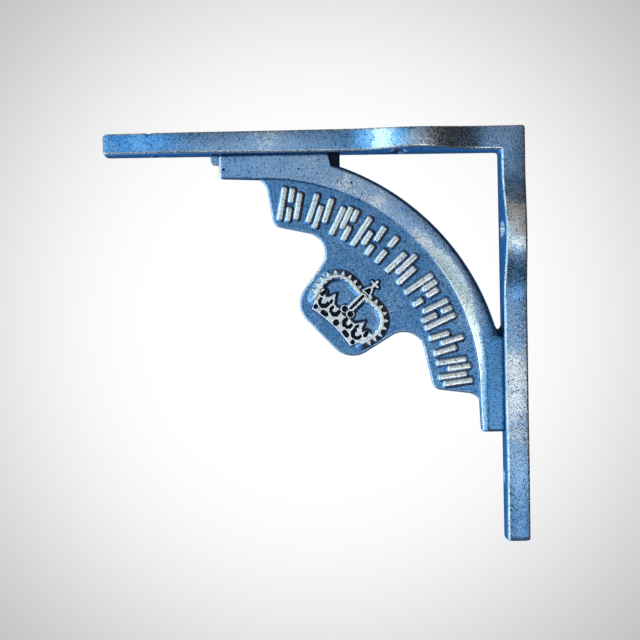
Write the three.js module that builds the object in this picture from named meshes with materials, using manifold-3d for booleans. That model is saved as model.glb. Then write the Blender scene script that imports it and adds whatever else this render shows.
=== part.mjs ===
// A cast iron shelf bracket: two arms at a right angle, a curved rib between them, and a
// shaped web below the rib that carries a crown badge and an arc of raised marks.
// Millimetres, +Z up. The ornamented side faces -Y, the wall side is +X, the shelf side is +Z.
// The casting is laid out from its outer corner and then moved, so that the origin ends up at
// the middle of the wall face.
import * as THREE from 'three';
import { mergeVertices } from 'three/addons/utils/BufferGeometryUtils.js';
import Module from 'manifold-3d';

// Arms
const SHELF_LENGTH = 191.2;
const WALL_LENGTH = 188.6;
const CORNER_THICK = 11.8;
const SHELF_END_THICK = 10.3;
const WALL_END_THICK = 11.0;
const ARM_HALF_DEPTH = 7.5;
const FLANK_SWELL = 0.0166;
const CORNER_ROUND = 1.4;

// Screw lobes, measured along an arm from the outer corner
const LOBE_AT = 48.5;
const LOBE_REACH = 32;
const LOBE_RISE = 4.2;
const END_LOBE_AT = 157;
const END_LOBE_REACH = 33;
const END_LOBE_RISE = 0.8;

// Screw holes
const SCREW_RADIUS = 2.5;
const SINK_RADIUS = 4.4;
const SINK_DEPTH = 1.9;
const LOBE_HOLE_SPREAD = 6.4;
const SHELF_LOBE_HOLE_AT = 57;
const WALL_LOBE_HOLE_AT = 47;
const SHELF_END_HOLE_AT = 167;
const WALL_END_HOLE_AT = 160;

// Rib, with a straight tail at each end beyond the quarter turn of its outer edge
const RIB_FOOT = 21.3;
const RIB_INNER_RADIUS = 98.4;
const RIB_TAIL = 15.8;
const RIB_END_TAPER = 0.9;
const RIB_WIDTH = 10.4;
const RIB_SINK = 2.3;
const RIB_HALF_DEPTH = 4.2;
const RIB_EDGE_DEPTH = 3.2;
const RIB_CREST = 0.55;
const RIB_OUTER_FALL = 0.15;
const RIB_LIFT_FROM = 25;
const RIB_LIFT_TO = 62;
const RIB_SEAM_DEPTH = 0.7;
const RIB_INNER_BEVEL = 0.5;
const RIB_OUTER_BEVEL = 1.5;

// Fillings of the sharp corners between the rib and the arms, measured back from the rib's tails
const SHELF_FILL_LENGTH = 39.5;
const WALL_FILL_LENGTH = 32.6;
const FILL_STEP = 4.8;
const FILL_HALF_DEPTH = 1.3;

// Web
const WEB_HALF_DEPTH = 2.2;
const WEB_BEVEL = 0.7;

// Raised marks on the web
const MARK_RISE = 1.1;
const MARK_WIDTH = 2.3;
const MARK_LENGTH = 15;
const MARK_MARGIN = 4.6;

// Crown badge on the web
const CROWN_RISE = 1.7;
const CROWN_TURN = 45;
const CROWN_WIDTH = 36;
const CROWN_DROP = 44.4;
const CROWN_SHIFT = 0.7;

// Gate stub left on the rib's shelf end
const STUB_LENGTH = 4;
const STUB_HEIGHT = 3.3;
const STUB_HALF_DEPTH = 1.6;

// How far one solid runs into the next where they are joined
const OVERLAP = 0.5;

// Corners of a surface closer than this are one corner
const MERGE_DISTANCE = 1e-4;

// Fineness of curves
const ARM_STATIONS = 44;
const RIB_STATIONS = 44;
const ROUND_STEPS = 9;
const HOLE_SIDES = 16;
const RELIEF_STEPS = 4;

const wasm = await Module();
wasm.setup();

const HALF_TURN = Math.PI;
const DIAGONAL = Math.SQRT2;

// A geometry with only its places left, and its shared corners merged.
function bareSurface(geometry) {
  geometry.deleteAttribute('normal');
  geometry.deleteAttribute('uv');
  return mergeVertices(geometry, MERGE_DISTANCE);
}

// A closed geometry as a solid that can be joined and cut.
function solid(geometry) {
  const merged = bareSurface(geometry);
  const mesh = new wasm.Mesh({
    numProp: 3,
    vertProperties: new Float32Array(merged.attributes.position.array),
    triVerts: new Uint32Array(merged.index.array),
  });
  return new wasm.Manifold(mesh);
}

// Skins rings of points, all with as many points, and closes both ends with flat fans.
function skin(rings) {
  const count = rings[0].length;
  const positions = rings.flat().flatMap((point) => [point.x, point.y, point.z]);
  const faces = [];
  for (let ring = 0; ring + 1 < rings.length; ring += 1) {
    for (let side = 0; side < count; side += 1) {
      const next = (side + 1) % count;
      const a = ring * count + side;
      const b = ring * count + next;
      faces.push(a, b + count, b, a, a + count, b + count);
    }
  }
  const last = (rings.length - 1) * count;
  for (let side = 1; side + 1 < count; side += 1) {
    faces.push(0, side, side + 1);
    faces.push(last, last + side + 1, last + side);
  }
  const geometry = new THREE.BufferGeometry();
  geometry.setAttribute('position', new THREE.Float32BufferAttribute(positions, 3));
  geometry.setIndex(faces);
  return geometry;
}

// A shape drawn in X and Z, as a slab between two depths along Y.
function slab(shape, front, back, steps = ROUND_STEPS, bevel = 0) {
  const depth = back - front - 2 * bevel;
  const geometry = new THREE.ExtrudeGeometry(shape, {
    depth,
    curveSegments: steps,
    bevelEnabled: bevel > 0,
    bevelThickness: bevel,
    bevelSize: bevel,
    bevelOffset: -bevel,
    bevelSegments: 1,
  });
  geometry.rotateX(HALF_TURN / 2);
  geometry.translate(0, back - bevel, 0);
  return geometry;
}

// A closed outline with a radius at each corner, from rows of [x, z, radius].
function roundedShape(corners) {
  const shape = new THREE.Shape();
  corners.forEach(([x, z, radius], index) => {
    const corner = new THREE.Vector2(x, z);
    const before = new THREE.Vector2(...corners.at(index - 1).slice(0, 2)).sub(corner).normalize();
    const after = new THREE.Vector2(...corners[(index + 1) % corners.length].slice(0, 2)).sub(corner).normalize();
    const halfAngle = Math.acos(before.dot(after)) / 2;
    const run = radius / Math.tan(halfAngle);
    const start = corner.clone().addScaledVector(before, run);
    const end = corner.clone().addScaledVector(after, run);
    if (index === 0) {
      shape.moveTo(start.x, start.y);
    } else {
      shape.lineTo(start.x, start.y);
    }
    if (radius > 0) {
      const middle = before.clone().add(after).normalize().multiplyScalar(radius / Math.sin(halfAngle)).add(corner);
      const from = Math.atan2(start.y - middle.y, start.x - middle.x);
      const to = Math.atan2(end.y - middle.y, end.x - middle.x);
      const clockwise = before.cross(after) > 0;
      shape.absarc(middle.x, middle.y, radius, from, to, clockwise);
    }
  });
  shape.closePath();
  return shape;
}

// A band of even width along a smooth line, from rows of [x, z].
function band(points, halfWidth, steps) {
  const line = new THREE.SplineCurve(points.map(([x, z]) => new THREE.Vector2(x, z)));
  const left = [];
  const right = [];
  for (let step = 0; step <= steps; step += 1) {
    const at = line.getPoint(step / steps);
    const along = line.getTangent(step / steps);
    const across = new THREE.Vector2(-along.y, along.x).multiplyScalar(halfWidth);
    left.push(at.clone().add(across));
    right.push(at.clone().sub(across));
  }
  return new THREE.Shape([...right, ...left.reverse()]);
}

// A disc or an oval, as a shape or as a hole in one.
function oval(x, z, radiusX, radiusZ, Kind = THREE.Shape) {
  const outline = new Kind();
  outline.absellipse(x, z, radiusX, radiusZ, 0, 2 * HALF_TURN, false, 0);
  return outline;
}

// Swaps X and Z, which turns a shelf arm feature into the same feature of the wall arm.
function mirrored(geometry) {
  const copy = geometry.clone();
  const place = copy.attributes.position;
  for (let index = 0; index < place.count; index += 1) {
    place.setXYZ(index, place.getZ(index), place.getY(index), place.getX(index));
  }
  const faces = Array.from(copy.index.array);
  for (let face = 0; face < faces.length; face += 3) {
    [faces[face + 1], faces[face + 2]] = [faces[face + 2], faces[face + 1]];
  }
  copy.setIndex(faces);
  return copy;
}

// Half the depth of an arm at a distance from the outer corner.
function armHalfDepth(along) {
  const rise = (at, reach, height) => {
    const share = Math.min(1, Math.abs(along - at) / reach);
    return height * Math.cos(share * HALF_TURN / 2) ** 2;
  };
  return ARM_HALF_DEPTH + rise(LOBE_AT, LOBE_REACH, LOBE_RISE) + rise(END_LOBE_AT, END_LOBE_REACH, END_LOBE_RISE);
}

// Thickness of an arm on the parting plane at a distance from the outer corner.
function armThickness(along, length, endThick) {
  return CORNER_THICK + (endThick - CORNER_THICK) * along / length;
}

// Thickness at a depth away from the parting plane, where the swollen flank falls back.
function flankThickness(thick, depth) {
  return thick - FLANK_SWELL * depth * depth;
}

// An arm along -X from the outer corner, with its flat outer face at Z 0.
function armGeometry(length, endThick) {
  const rings = [];
  for (let station = 0; station <= ARM_STATIONS; station += 1) {
    const along = length * station / ARM_STATIONS;
    const half = armHalfDepth(along);
    const thick = armThickness(along, length, endThick);
    const inner = [-1, -0.5, 0, 0.5, 1].map((share) => {
      const depth = share * half;
      return new THREE.Vector3(-along, depth, -flankThickness(thick, depth));
    });
    rings.push([new THREE.Vector3(-along, half, 0), new THREE.Vector3(-along, -half, 0), ...inner]);
  }
  return skin(rings);
}

// The cutter for a screw hole through an arm along -X, with its countersink on the inner flank.
function screwHole(along, depth, length, endThick) {
  const flank = flankThickness(armThickness(along, length, endThick), depth);
  const beyond = SINK_RADIUS;
  const profile = [
    [0, beyond],
    [SCREW_RADIUS, beyond],
    [SCREW_RADIUS, SINK_DEPTH - flank],
    [SINK_RADIUS, -flank],
    [SINK_RADIUS, -flank - beyond],
    [0, -flank - beyond],
  ].map(([radius, height]) => new THREE.Vector2(radius, height)).reverse();
  const closed = bareSurface(new THREE.LatheGeometry(profile, HOLE_SIDES));
  closed.rotateX(HALF_TURN / 2);
  closed.translate(-along, depth, 0);
  return closed;
}

function shelfHole(along, depth) {
  return screwHole(along, depth, SHELF_LENGTH, SHELF_END_THICK);
}

function wallHole(along, depth) {
  return mirrored(screwHole(along, depth, WALL_LENGTH, WALL_END_THICK));
}

// The rib's two edge lines share their straight ends and turn about their own centres.
const ribInnerCentre = RIB_FOOT + RIB_INNER_RADIUS;
const ribRoot = CORNER_THICK - RIB_SINK;
const ribInnerCrest = ribInnerCentre * DIAGONAL - RIB_INNER_RADIUS;
const ribOuterCrest = ribInnerCrest - RIB_WIDTH;
const ribOuterRadius = (ribOuterCrest - ribRoot * DIAGONAL) / (DIAGONAL - 1);
const ribOuterCentre = ribRoot + ribOuterRadius;
const ribReach = ribOuterCentre + RIB_TAIL;

// A point on the quarter turn of an edge line.
function edgePoint(centre, radius, turn) {
  return new THREE.Vector2(-centre + radius * Math.sin(turn), -centre + radius * Math.cos(turn));
}

// How far the rib's crest has risen at a turn: the rib is flat by the shelf and ridged by the wall.
function ribLift(turn) {
  return THREE.MathUtils.smoothstep(THREE.MathUtils.radToDeg(turn), RIB_LIFT_FROM, RIB_LIFT_TO);
}

// How deep the rib's front lies beside its outer edge.
function ribOuterDepth(turn) {
  return RIB_EDGE_DEPTH + (RIB_HALF_DEPTH - RIB_EDGE_DEPTH) * ribLift(turn) * (1 - RIB_OUTER_FALL);
}

// The rib, as rings across it: its front and back rise to a crest, its sides are bevelled.
function ribGeometry() {
  const endFoot = RIB_FOOT - RIB_END_TAPER;
  const pairs = [[new THREE.Vector2(-ribReach, -endFoot), new THREE.Vector2(-ribReach, -ribRoot), 0]];
  for (let station = 0; station <= RIB_STATIONS; station += 1) {
    const turn = HALF_TURN / 2 * station / RIB_STATIONS;
    pairs.push([
      edgePoint(ribInnerCentre, RIB_INNER_RADIUS, turn),
      edgePoint(ribOuterCentre, ribOuterRadius, turn),
      turn,
    ]);
  }
  pairs.push([new THREE.Vector2(-endFoot, -ribReach), new THREE.Vector2(-ribRoot, -ribReach), HALF_TURN / 2]);
  const rings = pairs.map(([inner, outer, turn]) => {
    const across = outer.clone().sub(inner);
    const width = across.length();
    across.normalize();
    const crestDepth = RIB_EDGE_DEPTH + (RIB_HALF_DEPTH - RIB_EDGE_DEPTH) * ribLift(turn);
    const front = [
      [0, RIB_SEAM_DEPTH],
      [RIB_INNER_BEVEL, RIB_EDGE_DEPTH],
      [width * RIB_CREST, crestDepth],
      [width - RIB_OUTER_BEVEL, ribOuterDepth(turn)],
      [width - RIB_OUTER_BEVEL / 4, ribOuterDepth(turn) - RIB_OUTER_BEVEL / 2],
      [width, RIB_SEAM_DEPTH],
    ];
    const back = front.map(([side, depth]) => [side, -depth]).reverse();
    return [...front, ...back].map(([side, depth]) => {
      const at = inner.clone().addScaledVector(across, side);
      return new THREE.Vector3(at.x, -depth, at.y);
    });
  });
  return skin(rings);
}

// The filling between the rib and the shelf arm: flush with the rib, then a lower step.
function fillGeometries(length, halfDepth) {
  const fillReach = ribOuterCentre - length;
  const flushReach = fillReach + FILL_STEP;
  const under = (reach) => Math.sqrt(ribOuterRadius ** 2 - (ribOuterCentre - reach) ** 2) - ribOuterCentre;
  const wedge = (near, far) => new THREE.Shape([
    new THREE.Vector2(-near, -ribRoot),
    new THREE.Vector2(-far, -ribRoot),
    new THREE.Vector2(-far, under(far) - RIB_OUTER_BEVEL),
    new THREE.Vector2(-near, under(near) - RIB_OUTER_BEVEL),
  ]);
  const end = ribOuterCentre - OVERLAP;
  return [
    slab(wedge(flushReach, end), -halfDepth, halfDepth),
    slab(wedge(fillReach, flushReach + OVERLAP), -FILL_HALF_DEPTH, FILL_HALF_DEPTH),
  ].map(bareSurface);
}

// The web's outline below the rib: place and corner radius, as shares of how far the centre of
// the rib's turn lies from the outer corner.
const webCorners = [
  [1.021, 0.141, 0],
  [1.021, 0.1715, 0],
  [0.958, 0.174, 0.061],
  [0.929, 0.351, 0.033],
  [0.685, 0.405, 0.077],
  [0.8655, 0.648, 0.089],
  [0.658, 0.8635, 0.094],
  [0.402, 0.7065, 0.079],
  [0.3455, 0.967, 0.033],
  [0.173, 0.99, 0.056],
  [0.170, 1.044, 0],
  [0.141, 1.044, 0],
  [0.141, 0.141, 0.835],
];

function webGeometry() {
  const corners = webCorners.map((corner) => {
    const [x, z, radius] = corner.map((share) => share * ribOuterCentre);
    return [-x, -z, radius];
  });
  return slab(roundedShape(corners), -WEB_HALF_DEPTH, WEB_HALF_DEPTH, ROUND_STEPS, WEB_BEVEL);
}

// The arc of marks: ten groups of bars, each group turned to face the rib's centre.
// A group is [angle, [offset across, low end, high end] ...] with the ends as shares of a mark.
const markGroups = [
  [10.5, [-3.7, 0, 1], [0, 0.58, 1], [0, 0, 0.42], [3.7, 0.1, 0.9]],
  [19.2, [-3.5, 0.1, 1], [0, 0, 0.7], [3.5, 0.25, 1]],
  [26.9, [-3, 0, 0.9], [0.1, 0.3, 1], [3.1, 0, 0.45], [3.1, 0.62, 1]],
  [35.0, [-3.9, 0, 1], [-0.1, 0.2, 0.66], [3.8, 0.5, 1], [3.8, 0, 0.34]],
  [41.5, [0, 0, 0.46], [0, 0.62, 1]],
  [48.4, [-3.8, 0, 0.8], [0, 0.2, 1], [3.8, 0, 0.72]],
  [57.1, [-3.4, 0, 1], [0, 0.5, 1], [3.4, 0, 0.34], [3.4, 0.5, 0.9]],
  [65.1, [-3.7, 0.16, 1], [0, 0, 0.5], [0, 0.66, 1], [3.7, 0, 1]],
  [73.5, [-3.6, 0, 0.62], [0, 0.3, 1], [3.6, 0, 0.7]],
  [82.4, [-4.9, 0, 0.9], [-1.6, 0.32, 1], [1.7, 0, 0.86], [5, 0.12, 1]],
];

function markGeometries() {
  const high = ribOuterRadius - RIB_WIDTH - MARK_MARGIN;
  const low = high - MARK_LENGTH;
  const reach = MARK_WIDTH / 2;
  return markGroups.flatMap(([degrees, ...bars]) => bars.map(([side, from, to]) => {
    const start = low + MARK_LENGTH * from;
    const end = low + MARK_LENGTH * to;
    const bar = roundedShape([
      [side - reach, start, reach * 0.6],
      [side + reach, start, reach * 0.6],
      [side + reach, end, reach * 0.6],
      [side - reach, end, reach * 0.6],
    ]);
    const geometry = slab(bar, -WEB_HALF_DEPTH - MARK_RISE, -WEB_HALF_DEPTH + OVERLAP, RELIEF_STEPS / 2);
    geometry.rotateY(THREE.MathUtils.degToRad(degrees));
    geometry.translate(-ribOuterCentre, 0, -ribOuterCentre);
    return geometry;
  }));
}

// The crown, drawn upright about its own middle for a width of 36 and scaled to its real width.
const CROWN_DRAWN_WIDTH = 36;
const ARCH_LINE = [[1.6, 9.3], [5.2, 9.9], [9.0, 10.0], [12.6, 9.0], [15.5, 6.4], [16.8, 2.6], [16.3, -2.0], [14.9, -6.6]];
const ARCH_HALF_WIDTH = 0.9;
const ARCH_TEETH = 9;
const TOOTH_HALF_WIDTH = 0.7;
const TOOTH_REACH = 2.5;
const BAND_HALF_FOOT = 12.3;
// The jewelled band's top edge with its leaf points, from the foot of the arch to the middle
const BAND_TOP = [
  [16.3, -3.0], [14.9, -0.4], [12.7, -0.6], [11.7, -2.6], [10.4, -1.6], [9.2, 1.7],
  [7.9, -0.2], [6.4, -2.2], [5.0, -2.5], [3.6, -2.2], [2.0, -2.6],
];
// Curls sunk in the band, as lines
const CURLS = [
  [[2.35, -3.6], [2.3, -5.0], [3.4, -6.2], [5.1, -6.1], [6.0, -4.9]],
  [[8.5, -4.4], [8.6, -5.9], [9.7, -7.0], [11.3, -6.9], [12.3, -5.8]],
];
const CURL_HALF_WIDTH = 0.6;

function onSide(side, points) {
  return points.map(([x, z]) => [side * x, z]);
}

function pointedShape(points) {
  return new THREE.Shape(points.map(([x, z]) => new THREE.Vector2(x, z)));
}

function jewelledBand() {
  const shape = new THREE.Shape();
  shape.moveTo(-BAND_HALF_FOOT, -11.3);
  shape.quadraticCurveTo(0, -8.7, BAND_HALF_FOOT, -11.3);
  const top = [[14.9, -6.6], ...BAND_TOP];
  for (const [x, z] of [...top, [0, -3.2], ...onSide(-1, top).reverse()]) {
    shape.lineTo(x, z);
  }
  shape.closePath();
  shape.holes.push(oval(0, -7.9, 1.3, 1.3, THREE.Path));
  for (const side of [-1, 1]) {
    shape.holes.push(oval(side * 6.7, -8.45, 1.6, 0.95, THREE.Path));
    shape.holes.push(oval(side * 11.7, -9.1, 0.8, 0.8, THREE.Path));
    for (const curl of CURLS) {
      const sunk = band(onSide(side, curl), CURL_HALF_WIDTH, 2 * RELIEF_STEPS);
      shape.holes.push(new THREE.Path(sunk.getPoints(1)));
    }
  }
  return shape;
}

function archShapes(side) {
  const line = onSide(side, ARCH_LINE);
  const curve = new THREE.SplineCurve(line.map(([x, z]) => new THREE.Vector2(x, z)));
  const shapes = [band(line, ARCH_HALF_WIDTH, 4 * RELIEF_STEPS)];
  for (let tooth = 0; tooth < ARCH_TEETH; tooth += 1) {
    const share = (tooth + 0.75) / (ARCH_TEETH + 0.8);
    const at = curve.getPointAt(share);
    const along = curve.getTangentAt(share);
    const out = new THREE.Vector2(-along.y, along.x).multiplyScalar(side);
    shapes.push(new THREE.Shape([
      at.clone().addScaledVector(along, -TOOTH_HALF_WIDTH),
      at.clone().addScaledVector(along, TOOTH_HALF_WIDTH),
      at.clone().addScaledVector(out, TOOTH_REACH),
    ]));
  }
  return shapes;
}

function crownShapes() {
  const orb = pointedShape([[-2.5, 11.1], [2.5, 11.1], [1.1, 14.9], [-1.1, 14.9]]);
  orb.holes.push(new THREE.Path(pointedShape([[-1.3, 11.9], [1.3, 11.9], [0.4, 13.9], [-0.4, 13.9]]).getPoints(1)));
  const shapes = [
    jewelledBand(),
    orb,
    band([[-2.0, 10.2], [2.0, 10.2]], 0.9, 1),
    band([[0, 14.6], [0, 18.8]], 0.5, 1),
    band([[-1.9, 16.8], [1.9, 16.8]], 0.5, 1),
  ];
  for (const side of [-1, 1]) {
    shapes.push(...archShapes(side), band([[side * 1.05, 0.4], [side * 1.05, 10.0]], 0.55, 1));
    const ring = oval(side * 1.75, -0.6, 1.9, 1.9);
    ring.holes.push(oval(side * 1.75, -0.6, 1.2, 1.2, THREE.Path));
    shapes.push(ring);
  }
  return shapes;
}

function crownGeometries() {
  const scale = CROWN_WIDTH / CROWN_DRAWN_WIDTH;
  const along = (ribInnerCrest + CROWN_DROP) / DIAGONAL;
  const aside = CROWN_SHIFT / DIAGONAL;
  return crownShapes().map((shape) => {
    const geometry = slab(shape, -WEB_HALF_DEPTH - CROWN_RISE, -WEB_HALF_DEPTH + OVERLAP, 2);
    geometry.scale(scale, 1, scale);
    geometry.rotateY(THREE.MathUtils.degToRad(CROWN_TURN));
    geometry.translate(aside - along, 0, -aside - along);
    return geometry;
  });
}

// The square block that rounds off the outer corner and the tips of both arms.
function envelopeGeometry() {
  const deepest = ARM_HALF_DEPTH + LOBE_RISE + END_LOBE_RISE + OVERLAP;
  const corners = [
    [0, 0, CORNER_ROUND],
    [-SHELF_LENGTH, 0, CORNER_ROUND],
    [-SHELF_LENGTH, -WALL_LENGTH, 0],
    [0, -WALL_LENGTH, CORNER_ROUND],
  ];
  return slab(roundedShape(corners), -deepest, deepest);
}

function stubGeometry() {
  const top = RIB_SINK - CORNER_THICK;
  const shape = new THREE.Shape([
    new THREE.Vector2(-ribReach - STUB_LENGTH, top),
    new THREE.Vector2(-ribReach - STUB_LENGTH, -CORNER_THICK - STUB_HEIGHT + OVERLAP),
    new THREE.Vector2(-ribReach + OVERLAP, -CORNER_THICK - STUB_HEIGHT + OVERLAP),
    new THREE.Vector2(-ribReach + OVERLAP, top),
  ]);
  return slab(shape, -STUB_HALF_DEPTH, STUB_HALF_DEPTH);
}

function castingGeometry() {
  const shelfArm = armGeometry(SHELF_LENGTH, SHELF_END_THICK);
  const wallArm = mirrored(armGeometry(WALL_LENGTH, WALL_END_THICK));
  const joined = [
    wallArm,
    ribGeometry(),
    webGeometry(),
    stubGeometry(),
    ...fillGeometries(SHELF_FILL_LENGTH, ribOuterDepth(0)),
    ...fillGeometries(WALL_FILL_LENGTH, ribOuterDepth(HALF_TURN / 2)).map(mirrored),
    ...markGeometries(),
    ...crownGeometries(),
  ];
  let casting = solid(shelfArm);
  for (const geometry of joined) {
    casting = casting.add(solid(geometry));
  }
  casting = casting.intersect(solid(envelopeGeometry()));
  for (const depth of [-LOBE_HOLE_SPREAD, LOBE_HOLE_SPREAD]) {
    casting = casting.subtract(solid(shelfHole(SHELF_LOBE_HOLE_AT, depth)));
    casting = casting.subtract(solid(wallHole(WALL_LOBE_HOLE_AT, depth)));
  }
  casting = casting.subtract(solid(shelfHole(SHELF_END_HOLE_AT, 0)));
  casting = casting.subtract(solid(wallHole(WALL_END_HOLE_AT, 0)));
  const mesh = casting.getMesh();
  const geometry = new THREE.BufferGeometry();
  geometry.setAttribute('position', new THREE.Float32BufferAttribute(mesh.vertProperties, 3));
  geometry.setIndex(Array.from(mesh.triVerts));
  geometry.translate(0, 0, WALL_LENGTH / 2);
  return geometry;
}

const iron = new THREE.MeshStandardMaterial({ color: 0x6f8299, roughness: 0.42, metalness: 0.9 });
const casting = new THREE.Mesh(castingGeometry(), iron);
casting.name = 'cast_bracket';

const bracket = new THREE.Group();
bracket.add(casting);

export default bracket;
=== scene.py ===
"""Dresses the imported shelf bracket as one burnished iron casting.

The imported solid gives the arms' lengths and the height of the shelf face. Each form of the casting is
meshed again with its rounded edges and finer relief, and all of them share one iron finish.

Sizes in the mesh code are millimetres measured from the bracket's outer corner: X to the shelf
arm's tip is negative, Z down the wall arm is negative, and the ornamented side faces -Y.
"""

import math

import bmesh
import bpy
import numpy as np
from bpy.props import FloatProperty, FloatVectorProperty, PointerProperty
from mathutils import Matrix, Vector


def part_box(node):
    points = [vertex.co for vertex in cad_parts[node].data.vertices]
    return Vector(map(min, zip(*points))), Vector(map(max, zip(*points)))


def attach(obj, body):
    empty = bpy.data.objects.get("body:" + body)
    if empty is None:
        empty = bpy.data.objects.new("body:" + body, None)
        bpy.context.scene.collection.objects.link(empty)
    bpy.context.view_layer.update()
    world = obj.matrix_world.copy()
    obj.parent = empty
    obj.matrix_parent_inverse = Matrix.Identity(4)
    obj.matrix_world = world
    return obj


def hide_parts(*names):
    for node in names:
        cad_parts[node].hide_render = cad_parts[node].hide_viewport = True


bl_info = {
    "name": "Cast Iron Shelf Bracket",
    "version": (1, 0, 0),
    "blender": (4, 5, 0),
    "location": "3D View > Sidebar > Bracket",
    "description": "Builds an ornate cast iron shelf bracket with a crown badge",
    "category": "Add Mesh",
}

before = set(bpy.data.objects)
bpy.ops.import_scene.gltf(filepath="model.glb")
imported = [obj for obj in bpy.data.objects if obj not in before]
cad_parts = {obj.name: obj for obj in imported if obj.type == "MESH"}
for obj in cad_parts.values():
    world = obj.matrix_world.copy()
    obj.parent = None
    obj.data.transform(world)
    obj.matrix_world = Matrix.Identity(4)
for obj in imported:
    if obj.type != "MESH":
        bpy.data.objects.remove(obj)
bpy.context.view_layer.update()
NODE = "cast_bracket"
BODY = "root"
lowest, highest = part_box(NODE)

MM = 0.001
SHELF_LENGTH = (highest.x - lowest.x) / MM
WALL_LENGTH = (highest.z - lowest.z) / MM

# Arms
CORNER_THICK = 11.8
SHELF_END_THICK = 10.3
WALL_END_THICK = 11.0
ARM_HALF_DEPTH = 7.5
FLANK_SWELL = 0.0166
CORNER_ROUND = 1.4
CORNER_FILLET = 1.0
TIP_ROUND = 1.3
FACE_EDGE_ROUND = 0.45
ARM_BOW = 0.2
STATION_GAP = 1.4
FLANK_STEPS = 9
ARC_STEPS = 4
CORNER_ARC_STEPS = 6
ARM_CREASE = 32.0
# Each arm's length, thickness at the tip, and whether it is the one turned down the wall
SHELF_ARM = (SHELF_LENGTH, SHELF_END_THICK, False)
WALL_ARM = (WALL_LENGTH, WALL_END_THICK, True)
# Where points stand across the front and back, on the bearing face, and toward the outer corner
FACE_SHARES = (0.1, 0.3, 0.5, 0.7, 0.88)
BEARING_SHARES = (0.85, 0.4, -0.4, -0.85)
CORNER_SHARES = (0.75, 0.5, 0.25)

# Screw lobes: place along the arm, reach to each side, rise
LOBES = ((48.5, 32.0, 4.2), (157.0, 33.0, 0.8))

# Wear is 1 where the iron is rubbed bright, 0 where it is plain and -1 where it is black with scale; some
# values paint highlights and shade instead, as noted where they are set
FRONT_EDGE_WEAR = 0.75
BACK_INNER_EDGE_WEAR = 0.9
BACK_OUTER_EDGE_WEAR = 0.7
BACK_WEAR = 0.4
BEARING_WEAR = 0.3
FLANK_WEAR = 0.0
# Wear of the arms' fronts, which also paints highlights and shade along them: rows of place along the arm
# and wear
SHELF_RUB_AND_PAINTED_LIGHT = ((0, 0.36), (25, 0.34), (42, 0.8), (49, 0.72), (57, 0.6), (61, 0.8), (65, 1.0), (68, 0.8),
             (72, 0.42), (78, 0.28), (92, 0.34), (116, 0.75), (136, 0.5), (160, 0.26), (192, 0.15))
WALL_RUB_AND_PAINTED_LIGHT = ((0, 0.36), (26, 0.24), (32, 0.5), (38, 0.95), (54, 0.85), (61, 0.3), (69, 0.1), (75, 0.16),
            (81, 0.45), (97, 0.5), (104, 0.85), (116, 0.88), (140, 0.74), (160, 0.4), (172, 0.18),
            (189, 0.1))

# Screw holes
SCREW_RADIUS = 2.5
SINK_RADIUS = 4.4
SINK_DEPTH = 1.9
LOBE_HOLE_SPREAD = 6.4
SHELF_LOBE_HOLE_AT = 57.0
WALL_LOBE_HOLE_AT = 47.0
SHELF_END_HOLE_AT = 167.0
WALL_END_HOLE_AT = 160.0
HOLE_SIDES = 40

# Rib
RIB_FOOT = 21.3
RIB_INNER_RADIUS = 98.4
RIB_TAIL = 15.8
RIB_END_TAPER = 0.9
RIB_WIDTH = 10.4
RIB_SINK = 2.3
RIB_EDGE_DEPTH = 3.2
RIB_INNER_ROUND = 0.4
RIB_OUTER_BEVEL = 1.5
RIB_PARTING_DEPTH = 0.7
RIB_LEAST_DEPTH = 0.3
RIB_CREST_ROOM = 0.5
RIB_END_ROUND = 1.2
RIB_FOOT_FILLET = 0.6
RIB_FOOT_SINK = 0.4
RIB_STATIONS = 150
RIB_TAIL_STATIONS = 12
RIB_FACE_STEPS = 12
RIB_OUTER_FALL = 0.15
RIB_FALL_POWER = 1.25
RIB_ROOT_WEAR = 0.1
RIB_FOOT_WEAR = 0.15
RIB_EDGE_WEAR = 0.5
# Painted shade: the rib's outer bevel and side are painted near black
RIB_BEVEL_PAINTED_SHADE = -0.9
RIB_SIDE_PAINTED_SHADE = -0.7
RIB_END_WEAR = 0.9
RIB_BACK_WEAR_SHARE = 0.7
# How much a painted highlight makes the ridge's inner slope brighter than the flat, and how painted shade
# dulls and blackens its outer slope
RIDGE_PAINTED_HIGHLIGHT = 0.85
RIDGE_PAINTED_DULLING = 0.4
RIDGE_PAINTED_SHADE = 0.22
# Rows of share of the rib's run from the shelf end: the crest's height as a share of the full crown,
# the crest's place across the rib, and the front's wear, which also paints highlights and shade along the
# rib
RIB_LIFT = ((0, 0.03), (0.3, 0.05), (0.42, 0.2), (0.55, 0.65), (0.66, 1.2), (0.8, 1.25), (0.93, 1.0),
            (1, 0.75))
RIB_CREST = ((0, 0.6), (0.5, 0.6), (0.64, 0.66), (0.78, 0.46), (0.9, 0.32), (1, 0.24))
RIB_RUB_AND_PAINTED_LIGHT = ((0, 0.36), (0.15, 0.5), (0.28, 0.68), (0.38, 0.66), (0.46, 0.42), (0.52, 0.5), (0.62, 0.75),
           (0.72, 0.6), (0.8, 0.25), (0.86, -0.1), (1, -0.25))

# Fillings between the rib and the arms, which end in a hollow step, and how far they run into both
SHELF_FILL_LENGTH = 39.5
WALL_FILL_LENGTH = 32.6
FILL_STEP = 4.8
FILL_HALF_DEPTH = 1.3
FILL_ROUND = 0.4
FILL_SHOULDER = 0.2
FILL_OVERLAP = 0.5
SHELF_STEP_HOLLOW = 0.1
WALL_STEP_HOLLOW = 1.6
HOLLOW_STEPS = 9
HOLLOW_TOP_SINK = 0.3
HOLLOW_FOOT_SINK = 0.2
FILL_TOP_SINK = 1.8

# Web
WEB_HALF_DEPTH = 2.2
WEB_SHOULDER = 1.2
WEB_ARC_STEPS = 24
OUTLINE_GAP = 0.6
OUTLINE_LEAST_POINTS = 8

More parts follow.
